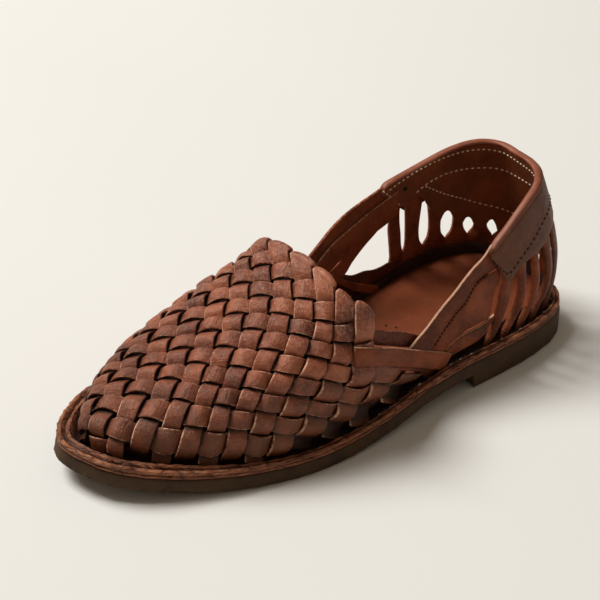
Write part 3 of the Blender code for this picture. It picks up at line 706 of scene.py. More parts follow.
# Slats of the heel, each as its two edges from the collar down.
LATERAL_SLATS = (
    (((76, 54), (76, 46), (78, 42), (79, 38), (80, 33), (81, 28), (82, 23), (85, 17), (87, 9)),
     ((67, 54), (67, 46), (67, 38), (68, 34), (70, 30), (73, 25), (76, 20), (80, 15), (83, 9))),
    (((65, 56), (65, 48), (64.5, 40), (65.5, 33), (67.5, 28), (70, 23), (73, 18), (77, 9)),
     ((56, 57), (56, 50), (56.5, 42), (57, 35), (58, 29), (61, 24), (65, 18), (70, 9))),
    (((53.5, 58), (53.5, 50), (53.5, 42), (54, 34), (56, 28), (59, 22), (62, 16), (66, 9)),
     ((46, 60), (46, 50), (45.5, 41), (46, 33), (48.5, 26), (52, 21), (56, 15), (60, 9))),
    (((43.5, 62), (43.5, 50), (42.5, 41), (42.5, 33), (44.5, 27), (48, 22), (51, 16), (54, 9)),
     ((34, 63), (34, 52), (33.5, 43), (33.5, 34), (36, 28), (40, 23), (44, 16), (47, 9))),
    (((32, 64), (32, 52), (31, 42), (31, 34), (33, 28), (36, 22), (39, 15), (41, 9)),
     ((20, 66), (20, 52), (20, 42), (20.5, 34), (22.5, 28), (26, 22), (29, 15), (31, 9))),
    (((18, 66), (17.5, 52), (17, 42), (17, 34), (18.5, 28), (21, 22), (23, 15), (24, 9)),
     ((8, 66), (8, 52), (8, 42), (8, 34), (8.5, 28), (9, 22), (10, 15), (10, 9))),
    (((7.5, 66), (7.5, 52), (7.5, 42), (7.5, 34), (8, 28), (8.5, 22), (9, 15), (9, 9)),
     ((-2, 66), (-2, 52), (-2, 42), (-2, 34), (-2, 28), (-2, 22), (-2, 15), (-2, 9))))
MEDIAL_SLATS = (
    (((-1.5, 66), (-1.5, 50), (-1.5, 36), (-1.5, 24), (-1.5, 9)),
     ((-8, 66), (-7, 50), (-6, 40), (-7, 33), (-9.5, 28), (-11, 9))),
    (((-10, 66), (-11, 50), (-12, 40), (-11, 33), (-8.8, 28), (-8.5, 9)),
     ((-21, 66), (-20, 50), (-18.5, 40), (-19, 33), (-22.5, 28), (-24, 9))),
    (((-23, 66), (-25, 50), (-25.7, 40), (-25, 33), (-21.8, 28), (-21.5, 9)),
     ((-35, 66), (-33.5, 50), (-32.2, 40), (-32.8, 33), (-36, 28), (-37, 9))),
    (((-36, 66), (-38, 50), (-38.8, 40), (-38, 33), (-35.3, 28), (-35, 9)),
     ((-48, 66), (-46, 50), (-44.7, 40), (-45.5, 33), (-49, 28), (-50, 9))),
    (((-49, 66), (-51, 50), (-52.3, 40), (-51.5, 33), (-48.3, 28), (-48, 9)),
     ((-63, 66), (-61.5, 52), (-60, 40), (-60.5, 33), (-64, 28), (-65, 9))),
    (((-64, 66), (-66, 52), (-67, 40), (-66, 33), (-63.2, 28), (-63, 9)),
     ((-78.5, 66), (-77, 52), (-76.2, 40), (-76.5, 33), (-79, 28), (-80, 9))),
    (((-79, 66), (-81, 56), (-80.8, 49), (-79.8, 42), (-79.2, 35), (-77.8, 29.5), (-79, 24.6), (-84, 20),
      (-90, 14)),
     ((-88.5, 66), (-87.8, 53), (-88.4, 46), (-87.9, 40.5), (-87.4, 34.8), (-87.3, 29.5), (-89.5, 25.6),
      (-95.5, 21.5), (-101, 15))))
# Edges of the bands that run forward from the collar, and of the slit along each.
LATERAL_BAND = (
    (80, 66), (86, 61), (92, 58), (98.4, 54), (105, 49.8), (112, 46.1), (119, 42.2), (126, 38.5),
    (136, 34.4), (146, 29))
LATERAL_SLIT = (
    (77, 54), (83, 53), (91.6, 50), (96, 45.8), (100, 42.2), (105, 40), (108.4, 37.6), (112.5, 35),
    (116, 32.4), (121.6, 28), (130, 21))
MEDIAL_BAND = (
    (-84, 73), (-91.9, 71.4), (-95.6, 70.3), (-100.5, 68.6), (-107, 66.8), (-114, 65.2), (-121.3, 63.1),
    (-128.3, 60.2), (-135.3, 56.3), (-143.6, 52), (-149, 50), (-156, 47.5), (-163, 44.5), (-170, 41),
    (-178, 36))
MEDIAL_SLIT = (
    (-84, 66), (-91, 63.3), (-99, 60.3), (-107, 57.8), (-114, 56), (-121.4, 54), (-128.5, 52),
    (-132.1, 50.4), (-135.6, 48.6), (-138.4, 46.8), (-141.1, 45), (-145, 43), (-152, 40), (-159, 36.5),
    (-166, 33), (-174, 28))
# Side straps: name, both edges, offsets, crown, tone, rings, rawness of each edge. The light tones of
# inner_prop, inner_cross and the inner bands are painted light bounced inside the shoe, inner_base_strap's
# dark tone is painted shade, and a much paler edge is partly a painted highlight.
SIDE_STRAPS = (
    ("outer_band_upper", LATERAL_BAND, LATERAL_SLIT, (-0.6, -0.2, -0.1, -0.4), 0.2, 0.42, 80, (1.2, 0.1)),
    ("outer_band_lower", moved_edge(LATERAL_SLIT, -1.7),
     ((76, 46), (78.6, 42), (80.7, 37), (81.2, 32), (83, 29), (86.6, 28.8), (92, 28.4), (97, 28.4),
      (101, 27.2), (107.8, 24.8), (113, 20), (122, 10)),
     (-1, -0.9, -0.9, -1.2), 0.4, 0.68, 80, (0.1, 0.2)),
    ("loop_strap",
     ((78, 29.4), (81.6, 28.8), (86.9, 28.3), (92.1, 27.9), (96.8, 27.9), (100.7, 27.6), (104.7, 27),
      (108.1, 26), (112, 24)),
     ((80, 26), (82.8, 25), (86.6, 22.6), (91.9, 20.8), (97.2, 20.4), (102.6, 20), (108, 19.4), (113, 18)),
     (-1.4, 0.2, 0.4, 0.3, 0), 0.2, 0.5, 50, (1.2, 0.2)),
    ("under_side_strap",
     ((168, 43), (162.8, 40), (150, 36), (138, 29), (126, 23)),
     ((168, 36.5), (161, 34.4), (148, 28.4), (135, 22), (124, 17)),
     (-1.2, -0.8, -0.6, -0.8), 0, 0.62, 50, (0.2, 0.7)),
    ("long_side_strap",
     ((174, 51.7), (170, 50.6), (163.4, 48.4), (153.7, 43.9), (137.7, 35), (123.7, 28.4), (114.3, 24),
      (109.5, 21.3)),
     ((175.2, 43.2), (170, 41.6), (163.5, 39.2), (153.3, 34.2), (137.9, 26.3), (127.2, 21), (120.2, 17.4),
      (115.8, 14.9)),
     (2, 1.9, 1.7, 1.6, 1.4, 1.3, 1), 0.25, 0.75, 90, (1, 0.3)),
    ("inner_tie_strap",
     ((172, 57), (164.8, 55.4), (158, 52.6), (147.4, 47.1), (132.2, 38.7), (122.5, 32.8), (112, 27)),
     ((172, 51), (165.1, 49), (158.6, 45.3), (148, 40), (139.7, 35.3), (126.1, 28.7), (114, 22)),
     (-3.2, -3.2, -3), 0, 0.35, 50, (0.5, 0.3)),
    ("inner_base_strap",
     ((-82, 27), (-88.5, 29.4), (-95.6, 29.4), (-101.2, 30), (-107.7, 31.8), (-116.6, 32.9), (-121.5, 35),
      (-128, 37.4), (-136, 39)),
     ((-82, 11), (-92, 12), (-104, 12), (-116, 12), (-126, 14), (-131, 16), (-136, 18)),
     (-2.4, -1.9, -1.7, -2), 0.3, 0.1, 60, (0.2, 0.2)),
    ("inner_prop_strap",
     ((-88, 55), (-98, 51.4), (-106, 49.4), (-112, 47.8), (-118.4, 45.6), (-123, 43.8), (-126, 42.2),
      (-129.6, 40.9), (-134.5, 38.4), (-141, 34), (-146, 29)),
     ((-86, 54.4), (-94.6, 51), (-101.7, 47.3), (-109.2, 43.6), (-116.9, 39.4), (-120.4, 36.6),
      (-125.9, 33), (-129, 28), (-132, 22), (-134, 18), (-136, 14)),
     (-1.8, -1.7, -1.7, -2), 0.3, 1, 70, (0.2, 0.3)),
    ("inner_cross_strap",
     ((-146, 48), (-138.8, 44.5), (-130.5, 38.6), (-120.9, 32), (-110.2, 26.6), (-100, 22)),
     ((-143, 42.5), (-136.3, 39.2), (-127.6, 33), (-119.8, 27.2), (-109.6, 21.6), (-100, 17)),
     (-3.6, -3.8, -3.6), 0.2, 0.85, 50, (0.3, 0.3)),
    ("inner_band_upper", MEDIAL_BAND, MEDIAL_SLIT, (-0.4, -0.1, 0, -0.2, -1, -3.8), 0.2, 0.8, 80,
     (0.5, 1.3)),
    ("inner_band_lower", moved_edge(MEDIAL_SLIT, 1.7),
     ((-84, 54.4), (-88.5, 52.4), (-96.1, 49.9), (-103, 48.5), (-111, 46.7), (-118.5, 45.2), (-123.6, 44),
      (-127.2, 42.9), (-130.5, 41.4), (-135, 39), (-141.5, 36), (-148, 33.5), (-155, 30), (-162, 26),
      (-170, 21)),
     (-2.4, -2.2, -2.1, -2.1, -2.4, -4), 0.2, 0.85, 80, (0.8, 0.3)))
# Sets of slats: name, slats, first seed, offsets, range of tones, crown, rawness, how much narrower. The
# inner slats' lighter tones are painted light bounced inside the shoe.
SLAT_SETS = (
    ("outer_slat", LATERAL_SLATS, 300, (-0.4, -0.3, -0.2, -0.6, -1.4, -1.9), (0.4, 0.65), 1.2, 0.1, 0.17),
    ("inner_slat", MEDIAL_SLATS, 320, (-0.4, -0.5, -0.6, -1, -1.7), (0.6, 0.9), 0.8, 0.3, 0))
RAND_AROUND = range(-120, 101, 20)
RAND_TOP = (23, 24, 25, 25.5, 25, 24.5, 24.5, 24, 22.5, 21.5, 19.5, 18.5)
# Dark pieces behind the straps, painted shade in the slit and between the inner slats' feet and the
# footbed: name, both edges, offsets, seed, thickness, rings.
BACKINGS = (
    ("slit_shadow_backing", moved_edge(LATERAL_SLIT[1:], 2.4), moved_edge(LATERAL_SLIT[1:], -3.2),
     (-2.4, -2.2, -2.4), 352, 1, 50),
    ("inner_heel_shadow_rand", tuple(zip(RAND_AROUND, RAND_TOP)), tuple((around, 13) for around in RAND_AROUND),
     (-3.6, -3.6, -3.6), 351, 1.2, 120))


def build_quarters(material, shaded_material):
    pieces = []
    for label, slats, seed, offset, tones, crown, raw, trim in SLAT_SETS:
        for index, edges in enumerate(slats):
            rng = random.Random(seed + index)
            pieces.append(quarter_strap(f"{label}_{index + 1}", edges, offset, rng, crown=crown,
                                        tone=rng.uniform(*tones), raw=(raw, raw), trim=trim))
    for index, (name, one, two, offset, crown, tone, count, raw) in enumerate(SIDE_STRAPS):
        pieces.append(quarter_strap(name, (one, two), offset, random.Random(340 + index), crown=crown,
                                    tone=tone, count=count, raw=raw))
    for piece in pieces:
        finish_piece(piece, material, "woven_leather", "upper")
    for name, one, two, offset, seed, thick, count in BACKINGS:
        backing = quarter_strap(name, (one, two), offset, random.Random(seed), thick=thick, tone=0.1,
                                count=count, raw=(0.1, 0.1))
        finish_piece(backing, shaded_material, "woven_leather", "upper")


# ---- collar ----------------------------------------------------------------------------------------
# Lower edges of the collar's panel and lining, by distance round the last.
PANEL_LOW = (
    (-95, 69), (-90, 64), (-82, 57), (-74, 51), (-66, 53), (-56, 55.5), (-44, 56.5), (-30, 58), (-15, 61),
    (0, 62), (15, 63), (24, 62.5), (30, 61.5), (36, 59), (42, 55), (49, 53), (58, 51.5), (64, 49.5),
    (69, 46), (71.5, 44.5), (74, 48), (77, 53), (80, 57.5), (83, 61))
LINING_LOW = (
    (-95, 68), (-89, 62), (-83.4, 57.6), (-80, 57.2), (-76.6, 58), (-73, 59.9), (-70, 60.7), (-65, 56.8),
    (-61, 50), (-57, 44), (-53.2, 41), (-52, 43.6), (-50.8, 45.4), (-48.9, 46), (-46.8, 44.4),
    (-45.2, 40.5), (-42, 36.5), (-39.2, 36), (-38.2, 38.4), (-36.8, 39.5), (-35.4, 39.5), (-33.8, 37.6),
    (-32.4, 34), (-29, 32), (-26, 33), (-24.8, 36.6), (-23.4, 38.3), (-21.8, 38.5), (-20.2, 36),
    (-18.8, 32), (-14, 31), (-9, 34), (0, 36), (18, 41), (35, 46), (50, 50), (62, 54), (72, 58), (83, 61))

# How much higher the collar stands than the opening's edge.
COLLAR_RISE = (
    (-40, 0), (-25, 0.6), (0, 1), (12, 2.4), (22, 2), (30, 1.1), (40, 0.4), (50, 0))


COLLAR_BACK, COLLAR_FRONT = -97.0, 85.0  # where the collar's band tapers off
# Over the panel's upper edge: height over the opening's edge and offset from the last.
PANEL_SHOULDER = np.array(((-1.0, 1.9), (0.1, 1.6), (0.75, 1.2), (0.9, 0.3), (-0.6, 0.2), (-2.2, 0.6)))
PANEL_LINES, LINING_LINES, RIM_LINES = 14, 16, 16
PANEL_OUT, PANEL_IN = 2.0, 0.7  # offsets of the panel's faces
LINING_IN, LINING_OUT = -2.1, -1.3  # and of the lining's


def straight(rows, at):
    table = np.array(rows, float)
    return np.interp(at, table[:, 0], table[:, 1])


def collar_piece(name, around, height, offset, finish, material):
    piece = skin(name, wall(around[:, None], height, offset), finish)
    finish_piece(piece, material, "collar_leather", "collar")


def build_collar(panel_leather, lining_leather, rim_leather):
    around = np.concatenate([np.linspace(-95.0, 60.0, 156), np.linspace(60.5, 82.5, 45)])
    settle = smooth_step((around - COLLAR_BACK) / 7.0)
    drop = 1.3 * (1.0 - settle)[:, None]
    top = topline(around) - 1.5 * (1.0 - settle) + straight(COLLAR_RISE, around)
    low = np.minimum(straight(PANEL_LOW, around), top - 1.2)
    up = low[:, None] + (top - 2.2 - low)[:, None] * np.linspace(0.0, 1.0, PANEL_LINES)
    height = np.concatenate([up, top[:, None] + PANEL_SHOULDER[:, 0], up[:, -2::-1]], 1)
    offset = np.concatenate([[1.75], np.full(PANEL_LINES - 1, PANEL_OUT), PANEL_SHOULDER[:, 1],
                             np.full(PANEL_LINES - 2, PANEL_IN), [0.9]])
    finish = np.zeros(height.shape + (3,))
    finish[:, 0, 0] = finish[:, -1, 0] = 1.0
    finish[..., 1] = 0.5
    collar_piece("collar_panel", around, height, offset - drop, finish, panel_leather)

    low = np.minimum(straight(LINING_LOW, around), top - 1.2)
    down = (top - 0.4)[:, None] + (low - top + 0.4)[:, None] * np.linspace(0.0, 1.0, LINING_LINES)
    height = np.concatenate([down, down[:, ::-1]], 1)
    finish = np.zeros(height.shape + (3,))
    finish[..., 1] = 0.5
    finish[:, LINING_LINES - 1:LINING_LINES + 1, 0] = 1.0
    collar_piece("collar_lining", around, height, np.repeat((LINING_IN, LINING_OUT), LINING_LINES), finish,
                 lining_leather)

    turn = np.linspace(0.0, 2.0 * math.pi, RIM_LINES, endpoint=False)
    ends = smooth_step((around - COLLAR_BACK) / 6.0) * smooth_step((COLLAR_FRONT - around) / 8.0)
    full = (0.45 + 0.55 * ends)[:, None]
    height = top[:, None] - 1.1 + 1.35 * full + 1.35 * full * np.sin(turn)
    offset = 0.05 - 0.4 * drop + 2.05 * full * np.cos(turn)
    finish = np.zeros(height.shape + (3,))
    finish[..., 2] = 0.55 * smooth_step((np.cos(turn) - 0.15) / 0.6)
    collar_piece("collar_rim", around, height, offset, finish, rim_leather)


# ---- stitches ----------------------------------------------------------------------------------------
def one_stitch(length, thick):
    """A rounded stitch lying along x, modelled once and copied."""
    bpy.ops.mesh.primitive_uv_sphere_add(segments=6, ring_count=5, radius=1.0, location=(0.0, 0.0, 0.0))
    stitch = bpy.context.object
    stitch.data.transform(Matrix.Rotation(math.pi / 2, 4, "Y"))
    stitch.data.transform(Matrix.Diagonal((length / 2.0 * MM, thick / 2.0 * MM, thick / 2.0 * MM, 1.0)))
    return stitch


def stitch_row(name, places, normals, length, thick, material, slot, rng):
    """Stitches set along a row of places in the shoe's axes, each as a copy with its own mesh."""
    first = one_stitch(length, thick)
    copies = []
    for index in range(1, len(places) - 1):
        ahead = Vector(places[index + 1] - places[index - 1]).normalized()
        normal = Vector(normals[index])
        side = normal.cross(ahead).normalized()
        normal = ahead.cross(side)
        wobble = Matrix.Rotation(rng.uniform(-0.10, 0.10), 3, "Z")
        turn = Matrix((ahead, side, normal)).transposed() @ wobble
        copy = bpy.data.objects.new(name, first.data.copy())
        bpy.context.collection.objects.link(copy)
        copy.data.transform(Matrix.Translation(to_world(places[index])) @ turn.to_4x4())
        copies.append(copy)
    bpy.data.objects.remove(first, do_unlink=True)
    bpy.ops.object.select_all(action="DESELECT")
    for copy in copies:
        copy.select_set(True)
    bpy.context.view_layer.objects.active = copies[0]
    bpy.ops.object.join()
    row = bpy.context.object
    row.name = row.data.name = name
    bpy.ops.object.shade_smooth_by_angle(angle=math.radians(80.0))
    return finish_piece(row, material, slot)


def wall_row(points, offset, pitch):
    """Places and normals at an even pitch along a line on a quarter."""
    path = smooth_path(points, 400)
    run = run_along(wall(path[:, 0], path[:, 1], offset))
    path = points_at(np.arange(0.0, run[-1], pitch), run, path)
    sign = 1.0 if offset > 0 else -1.0
    return wall(path[:, 0], path[:, 1], offset), outward_at(path[:, 0], path[:, 1]) * sign


STITCH_SHARE, STITCH_THICK = 0.62, 0.9  # length as a share of the pitch, and thickness
# Rows of collar stitches: name, offset from the last, pitch, path.
COLLAR_STITCHES = (
    ("panel_stitches", 2.05, 2.9, ((83, 60), (77, 54), (72, 49.5), (68, 51), (63, 54.5), (57, 58),
     (51, 61.5), (46, 64.5), (40, 68), (32, 71), (20, 72), (0, 72), (-30, 70), (-50, 66), (-60, 62),
     (-70, 57), (-76, 57), (-84, 63), (-91, 68))),
    ("top_stitches", -2.15, 2.7, ((-92, 68), (-89, 69.6), (-83, 72), (-73, 75.4), (-62.5, 77.8),
     (-51.5, 79.6), (-40, 80.8), (-28.8, 81.6), (-12, 82), (6, 82.4), (20, 83), (32, 81.4), (44, 75.5),
     (56, 70), (68, 64), (80, 58))),
    ("lining_stitches", -2.15, 3, ((-73, 61.5), (-69.4, 64.1), (-61.9, 66.9), (-51.2, 69.1),
     (-40.7, 69.6), (-30.4, 69.9), (-12.7, 70.8), (1.5, 71.4), (20, 73), (34, 73), (46, 70))),
    ("counter_stitches", -2.15, 3, ((-66.8, 66.4), (-60.3, 62.2), (-51.1, 56.7), (-41.3, 52),
     (-32.1, 48.4), (-23.6, 46.6), (-7.7, 46.2), (6, 46.5), (20, 48.5), (36, 53), (50, 58))),
    ("tab_stitches", -2.15, 2.8, ((-96, 71), (-93.7, 69.1), (-87.8, 64.3), (-82.1, 58.9), (-79.2, 56.4))))


def build_collar_stitches(dark, cream):
    for index, (name, offset, pitch, points) in enumerate(COLLAR_STITCHES):
        thread = dark if name == "panel_stitches" else cream
        stitch_row(name, *wall_row(points, offset, pitch), pitch * STITCH_SHARE, STITCH_THICK, thread,
                   "collar_leather", random.Random(400 + index))
    stitch_row("side_slit_stitches", *wall_row(LATERAL_SLIT[1:10], 0.75, 2.0), 1.5, STITCH_THICK, dark,
               "woven_leather", random.Random(480))
    # A dark knob stands for the hole in the lining: its dark stands for the shade in the hole, painted
    # shade.
    hole = ((-78.2, 67.3), (-79.2, 67.3), (-80.2, 67.3))
    stitch_row("lining_hole", *wall_row(hole, -1.0, 0.7), 3.6, 3.6, dark, "collar_leather",
               random.Random(410))


# ---- sole --------------------------------------------------------------------------------------------
TOE_FROM, TOE_OVER = 195.0, 60.0


def at_toe(x):
    """How much a station belongs to the toe."""
    return smooth_step((x - TOE_FROM) / TOE_OVER)


def ripple(x, y, rate, seed):
    """Unevenness left by cutting and moulding, between -1 and 1."""
    rng = random.Random(seed)
    total = 0.0
    for _ in range(6):
        turn, phase, pace = rng.uniform(0.0, math.pi), rng.uniform(0.0, 6.28), rate * rng.uniform(0.6, 1.7)
        total = total + np.sin(pace * (x * math.cos(turn) + y * math.sin(turn)) + phase)
    return total / 3.5


def sole_layer(name, rows, low=0, extra=(), count=330):
    """A sole layer from rings round the plan, closed across the foot.

    Each row is a ring: its inset, its height over the rubber's top (over its underside for the first low
    rings), how uneven it is, how much further in and how much higher it lies at the toe, how worn it is (on
    the welt, wear with a painted highlight on its upper edge) and how much painted shade it gets (in the
    welt's crevices and channel and at the footbed's edge). extra holds stations that need points of their
    own.
    """
    base = halves(PLAN)
    table = np.array([row + (0.0,) * (7 - len(row)) for row in rows], float)
    rings = []
    for number, (distance, rise, rough, spread, toe_rise) in enumerate(table[:, :5]):
        uneven = rough * ripple(PLAN[:, 0], PLAN[:, 1], 0.55, 500 + number)
        nicks = (0.5 if rough > 0.3 else rough) * (0.3 + at_toe(PLAN[:, 0]))
        uneven = uneven + nicks * ripple(PLAN[:, 0], PLAN[:, 1], 1.7, 600 + number)
        moved = halves(inset(PLAN, distance + spread * at_toe(PLAN[:, 0]) + uneven))
        ring = []
        for side in (LATERAL, MEDIAL):
            run, half = moved[side]
            marks = [np.interp(x, base[side][1][:, 0], base[side][0]) / base[side][0][-1] for x in extra]
            at = np.unique(np.concatenate([np.linspace(0.0, 1.0, count), marks])) * run[-1]
            points = points_at(at, run, half)
            ring.append(points if side == LATERAL else points[::-1])
        plan = np.vstack(ring)
        level = floor_side(plan[:, 0]) if number < low else rubber_top(plan[:, 0])
        level = level + rise + toe_rise * at_toe(plan[:, 0])
        level = level + rough * ripple(plan[:, 0], plan[:, 1], 0.8, 550 + number)
        rings.append(np.column_stack([plan, level]))

    def lid(ring):
        """Folds a ring onto its other side."""
        return [ring * (1 - s) + ring[::-1] * s for s in (0.125, 0.25, 0.375, 0.5)]

    whole = np.array([*lid(rings[0])[::-1], *rings, *lid(rings[-1])])
    finish = np.zeros(whole.shape)
    marks = np.pad(table[:, 5:], ((4, 4), (0, 0)), "edge")
    finish[..., 0], finish[..., 2] = marks[:, :1], marks[:, 1:]
    return skin(name, whole, finish, capped=False, crease=40.0)


OUTSOLE_RINGS = (
    (14, 0), (6, 0), (1, 0), (-0.9, 0.08, 0.1), (-1.2, 0.6, 0.31), (-1.15, 1.6, 0.12),
    (-0.8, -3.2, 0.06), (-0.4, -1.6, 0.05), (-0.1, -0.5, 0.05), (0.3, -0.05), (1.2, 0), (6, 0), (14, 0))
# The welt's rings: the worn column is wear with a painted highlight, the last column painted shade in the
# crevices and the channel.
WELT_RINGS = (
    (14, 0.25), (2, 0.25), (0.4, 0.25), (-0.05, 0.6, 0.08, 0, 0, 0.2), (-0.15, 1.4, 0.12, 0, 0, 0.5),
    (0.2, 1.85, 0.1, 0, 0, 0.3, 0.3), (0.45, 2, 0.05, 0, 0, 0, 0.8), (0.1, 2.2, 0.18, 0, 0, 0.3, 0.2),
    (-0.1, 3, 0.24, 0, 0, 0.8), (0.25, 3.65, 0.28, 0.1, 0.2, 1), (0.95, 3.95, 0.26, 0.5, 0.35, 0.9),
    (1.6, 3.55, 0.2, 1, 0, 0.2, 0.3), (2, 3.1, 0.16, 1.5, -0.3, 0, 0.75),
    (2.4, 3.75, 0.26, 2, 0.6, 0.6, 0.1), (3, 3.8, 0.26, 2.6, 1.1, 0.4),
    (3.6, 3.1, 0.1, 3.2, 0.6, 0, 0.4), (4, 2, 0.05, 3.6, 0.2, 0, 0.85), (4.6, 1.5, 0, 3.9, 0, 0, 1),
    (6.5, 1.4, 0, 4.2, 0, 0, 1), (9, 2.1, 0, 4.2, 0, 0, 1), (14, 2.3, 0, 3, 0, 0, 1))
# The footbed's last column is painted shade, darkest at its edge.
FOOTBED_RINGS = (
    (16, 4.2, 0, 3, 0, 0, 1), (9.6, 4.2, 0, 4.6, 0, 0, 1), (8.5, 4.3, 0, 4.6, 0, 0, 1),
    (8.1, 4.9, 0, 4.6, 0, 0, 1), (8.2, 6.2, 0, 4.6, 0, 0, 1), (8.7, 6.5, 0, 4.6, 0, 0, 0.9),
    (9.6, 6.55, 0, 4.5, 0, 0, 0.7), (11.5, 6.5, 0, 4.4, 0, 0, 0.35), (14.5, 6.3, 0, 4), (22, 6, 0, 2))


def build_sole(rubber, welt_leather, footbed_leather):
    outsole = sole_layer("outsole_rubber", OUTSOLE_RINGS, 6, (HEEL_BREAST_X - 0.5, HEEL_BREAST_X + 0.6))
    finish_piece(outsole, rubber, "outsole_rubber", "outsole")
    finish_piece(sole_layer("welt", WELT_RINGS), welt_leather, "welt_leather", "midsole")
    footbed = sole_layer("footbed", FOOTBED_RINGS, count=170)
    finish_piece(footbed, footbed_leather, "footbed_leather", "insole")


NAIL_SIZE, NAIL_RISE = 1.7, 5.7
WELT_STITCH_INSET, WELT_STITCH_TOE_INSET, WELT_STITCH_RISE, WELT_STITCH_PITCH = 4.35, 3.7, 2.2, 7.0


def build_footbed_nails(material):
    """Nail heads in the footbed, set between two end marks that stay empty."""
    spots = np.array(((101.0, 8.0), (97.1, 4.3), (99.7, 0.1), (84.3, -24.3), (80.0, -28.0)))
    places = np.column_stack([spots, rubber_top(spots[:, 0]) + NAIL_RISE])
    normals = np.tile((0.0, 0.0, 1.0), (len(places), 1))
    stitch_row("footbed_nails", places, normals, NAIL_SIZE, NAIL_SIZE, material, "footbed_leather",
               random.Random(470))


def build_welt_stitches(thread):
    sides = halves(inset(PLAN, WELT_STITCH_INSET + WELT_STITCH_TOE_INSET * at_toe(PLAN[:, 0])))
    for name, side, lean in (("outer", LATERAL, 0.35), ("inner", MEDIAL, -0.35)):
        run, half = sides[side]
        points = points_at(np.arange(6.0, run[-1] * 0.96, WELT_STITCH_PITCH), run, half)
        places = np.column_stack([points, rubber_top(points[:, 0]) + WELT_STITCH_RISE])
        normals = np.tile((0.0, lean, 0.94), (len(places), 1))
        stitch_row(f"welt_stitches_{name}", places, normals, 1.9, 0.8, thread, "welt_leather",
                   random.Random(450 + side))


# ---- finishes ----------------------------------------------------------------------------------------
class Finish:
    """A node material, wired step by step."""

    def __init__(self, name, roughness=0.6, specular=0.25):
        self.material = bpy.data.materials.new(name)
        self.material.use_nodes = True
        self.tree = self.material.node_tree
        self.shader = self.tree.nodes["Principled BSDF"]
        self.shader.inputs["Roughness"].default_value = roughness
        self.shader.inputs["Specular IOR Level"].default_value = specular
        self.place = self.add("ShaderNodeTexCoord")

    def add(self, kind, **values):
        node = self.tree.nodes.new(kind)
        for key, value in values.items():
            setattr(node, key, value)
        return node

    def set(self, socket, value):
        if isinstance(value, bpy.types.NodeSocket):
            self.tree.links.new(value, socket)
        else:
            socket.default_value = value

    def mapped(self, space, stretch):
        mapping = self.add("ShaderNodeMapping")
        self.set(mapping.inputs["Vector"], self.place.outputs[space])
        mapping.inputs["Scale"].default_value = stretch
        return mapping.outputs["Vector"]

    def noise(self, scale, detail=3.0, rough=0.55, stretch=(1.0, 1.0, 1.0), space="Object", distort=0.0):
        vector = self.mapped(space, stretch)
        node = self.add("ShaderNodeTexNoise")
        self.set(node.inputs["Vector"], vector)
        values = {"Scale": scale, "Detail": detail, "Roughness": rough, "Distortion": distort}
        for key, value in values.items():
            node.inputs[key].default_value = value
        return node.outputs["Fac"]

    def cells(self, scale, stretch):
        vector = self.mapped("Object", stretch)
        node = self.add("ShaderNodeTexVoronoi", feature="DISTANCE_TO_EDGE")
        self.set(node.inputs["Vector"], vector)
        node.inputs["Scale"].default_value = scale
        return node.outputs["Distance"]

    def range(self, value, low, high, to_low=0.0, to_high=1.0):
        node = self.add("ShaderNodeMapRange", clamp=True)
        self.set(node.inputs["Value"], value)
        for key, number in zip(("From Min", "From Max", "To Min", "To Max"), (low, high, to_low, to_high)):
            node.inputs[key].default_value = number
        return node.outputs["Result"]

    def math(self, operation, one, two):
        node = self.add("ShaderNodeMath", operation=operation)
        self.set(node.inputs[0], one)
        self.set(node.inputs[1], two)
        return node.outputs[0]

    def mix(self, share, one, two):
        node = self.add("ShaderNodeMix", data_type="RGBA")
        self.set(node.inputs["Factor"], share)
        for socket, value in ((node.inputs[6], one), (node.inputs[7], two)):
            self.set(socket, (*value, 1.0) if isinstance(value, tuple) else value)
        return node.outputs[2]

    def finish(self):
        """How raw, how toned and how darkened each point is; the darkening is painted shade, save on the
        collar rim's outer half.
        """
        node = self.add("ShaderNodeAttribute", attribute_name="finish")
        split = self.add("ShaderNodeSeparateColor")
        self.set(split.inputs["Color"], node.outputs["Color"])
        return split.outputs["Red"], split.outputs["Green"], split.outputs["Blue"]

    def height(self):
        split = self.add("ShaderNodeSeparateXYZ")
        self.set(split.inputs["Vector"], self.place.outputs["Object"])
        return split.outputs["Z"]

    def bump(self, *layers):
        """Bump layers as (height, strength, depth in mm), each over the one before."""
        normal = None
        for height, strength, depth in layers:
            node = self.add("ShaderNodeBump")
            self.set(node.inputs["Height"], height)
            node.inputs["Strength"].default_value = strength
            node.inputs["Distance"].default_value = depth * MM
            if normal is not None:
                self.set(node.inputs["Normal"], normal)
            normal = node.outputs["Normal"]
        self.set(self.shader.inputs["Normal"], normal)

    def colour(self, value):
        self.set(self.shader.inputs["Base Color"], value)

    def rough(self, value):
        self.set(self.shader.inputs["Roughness"], value)


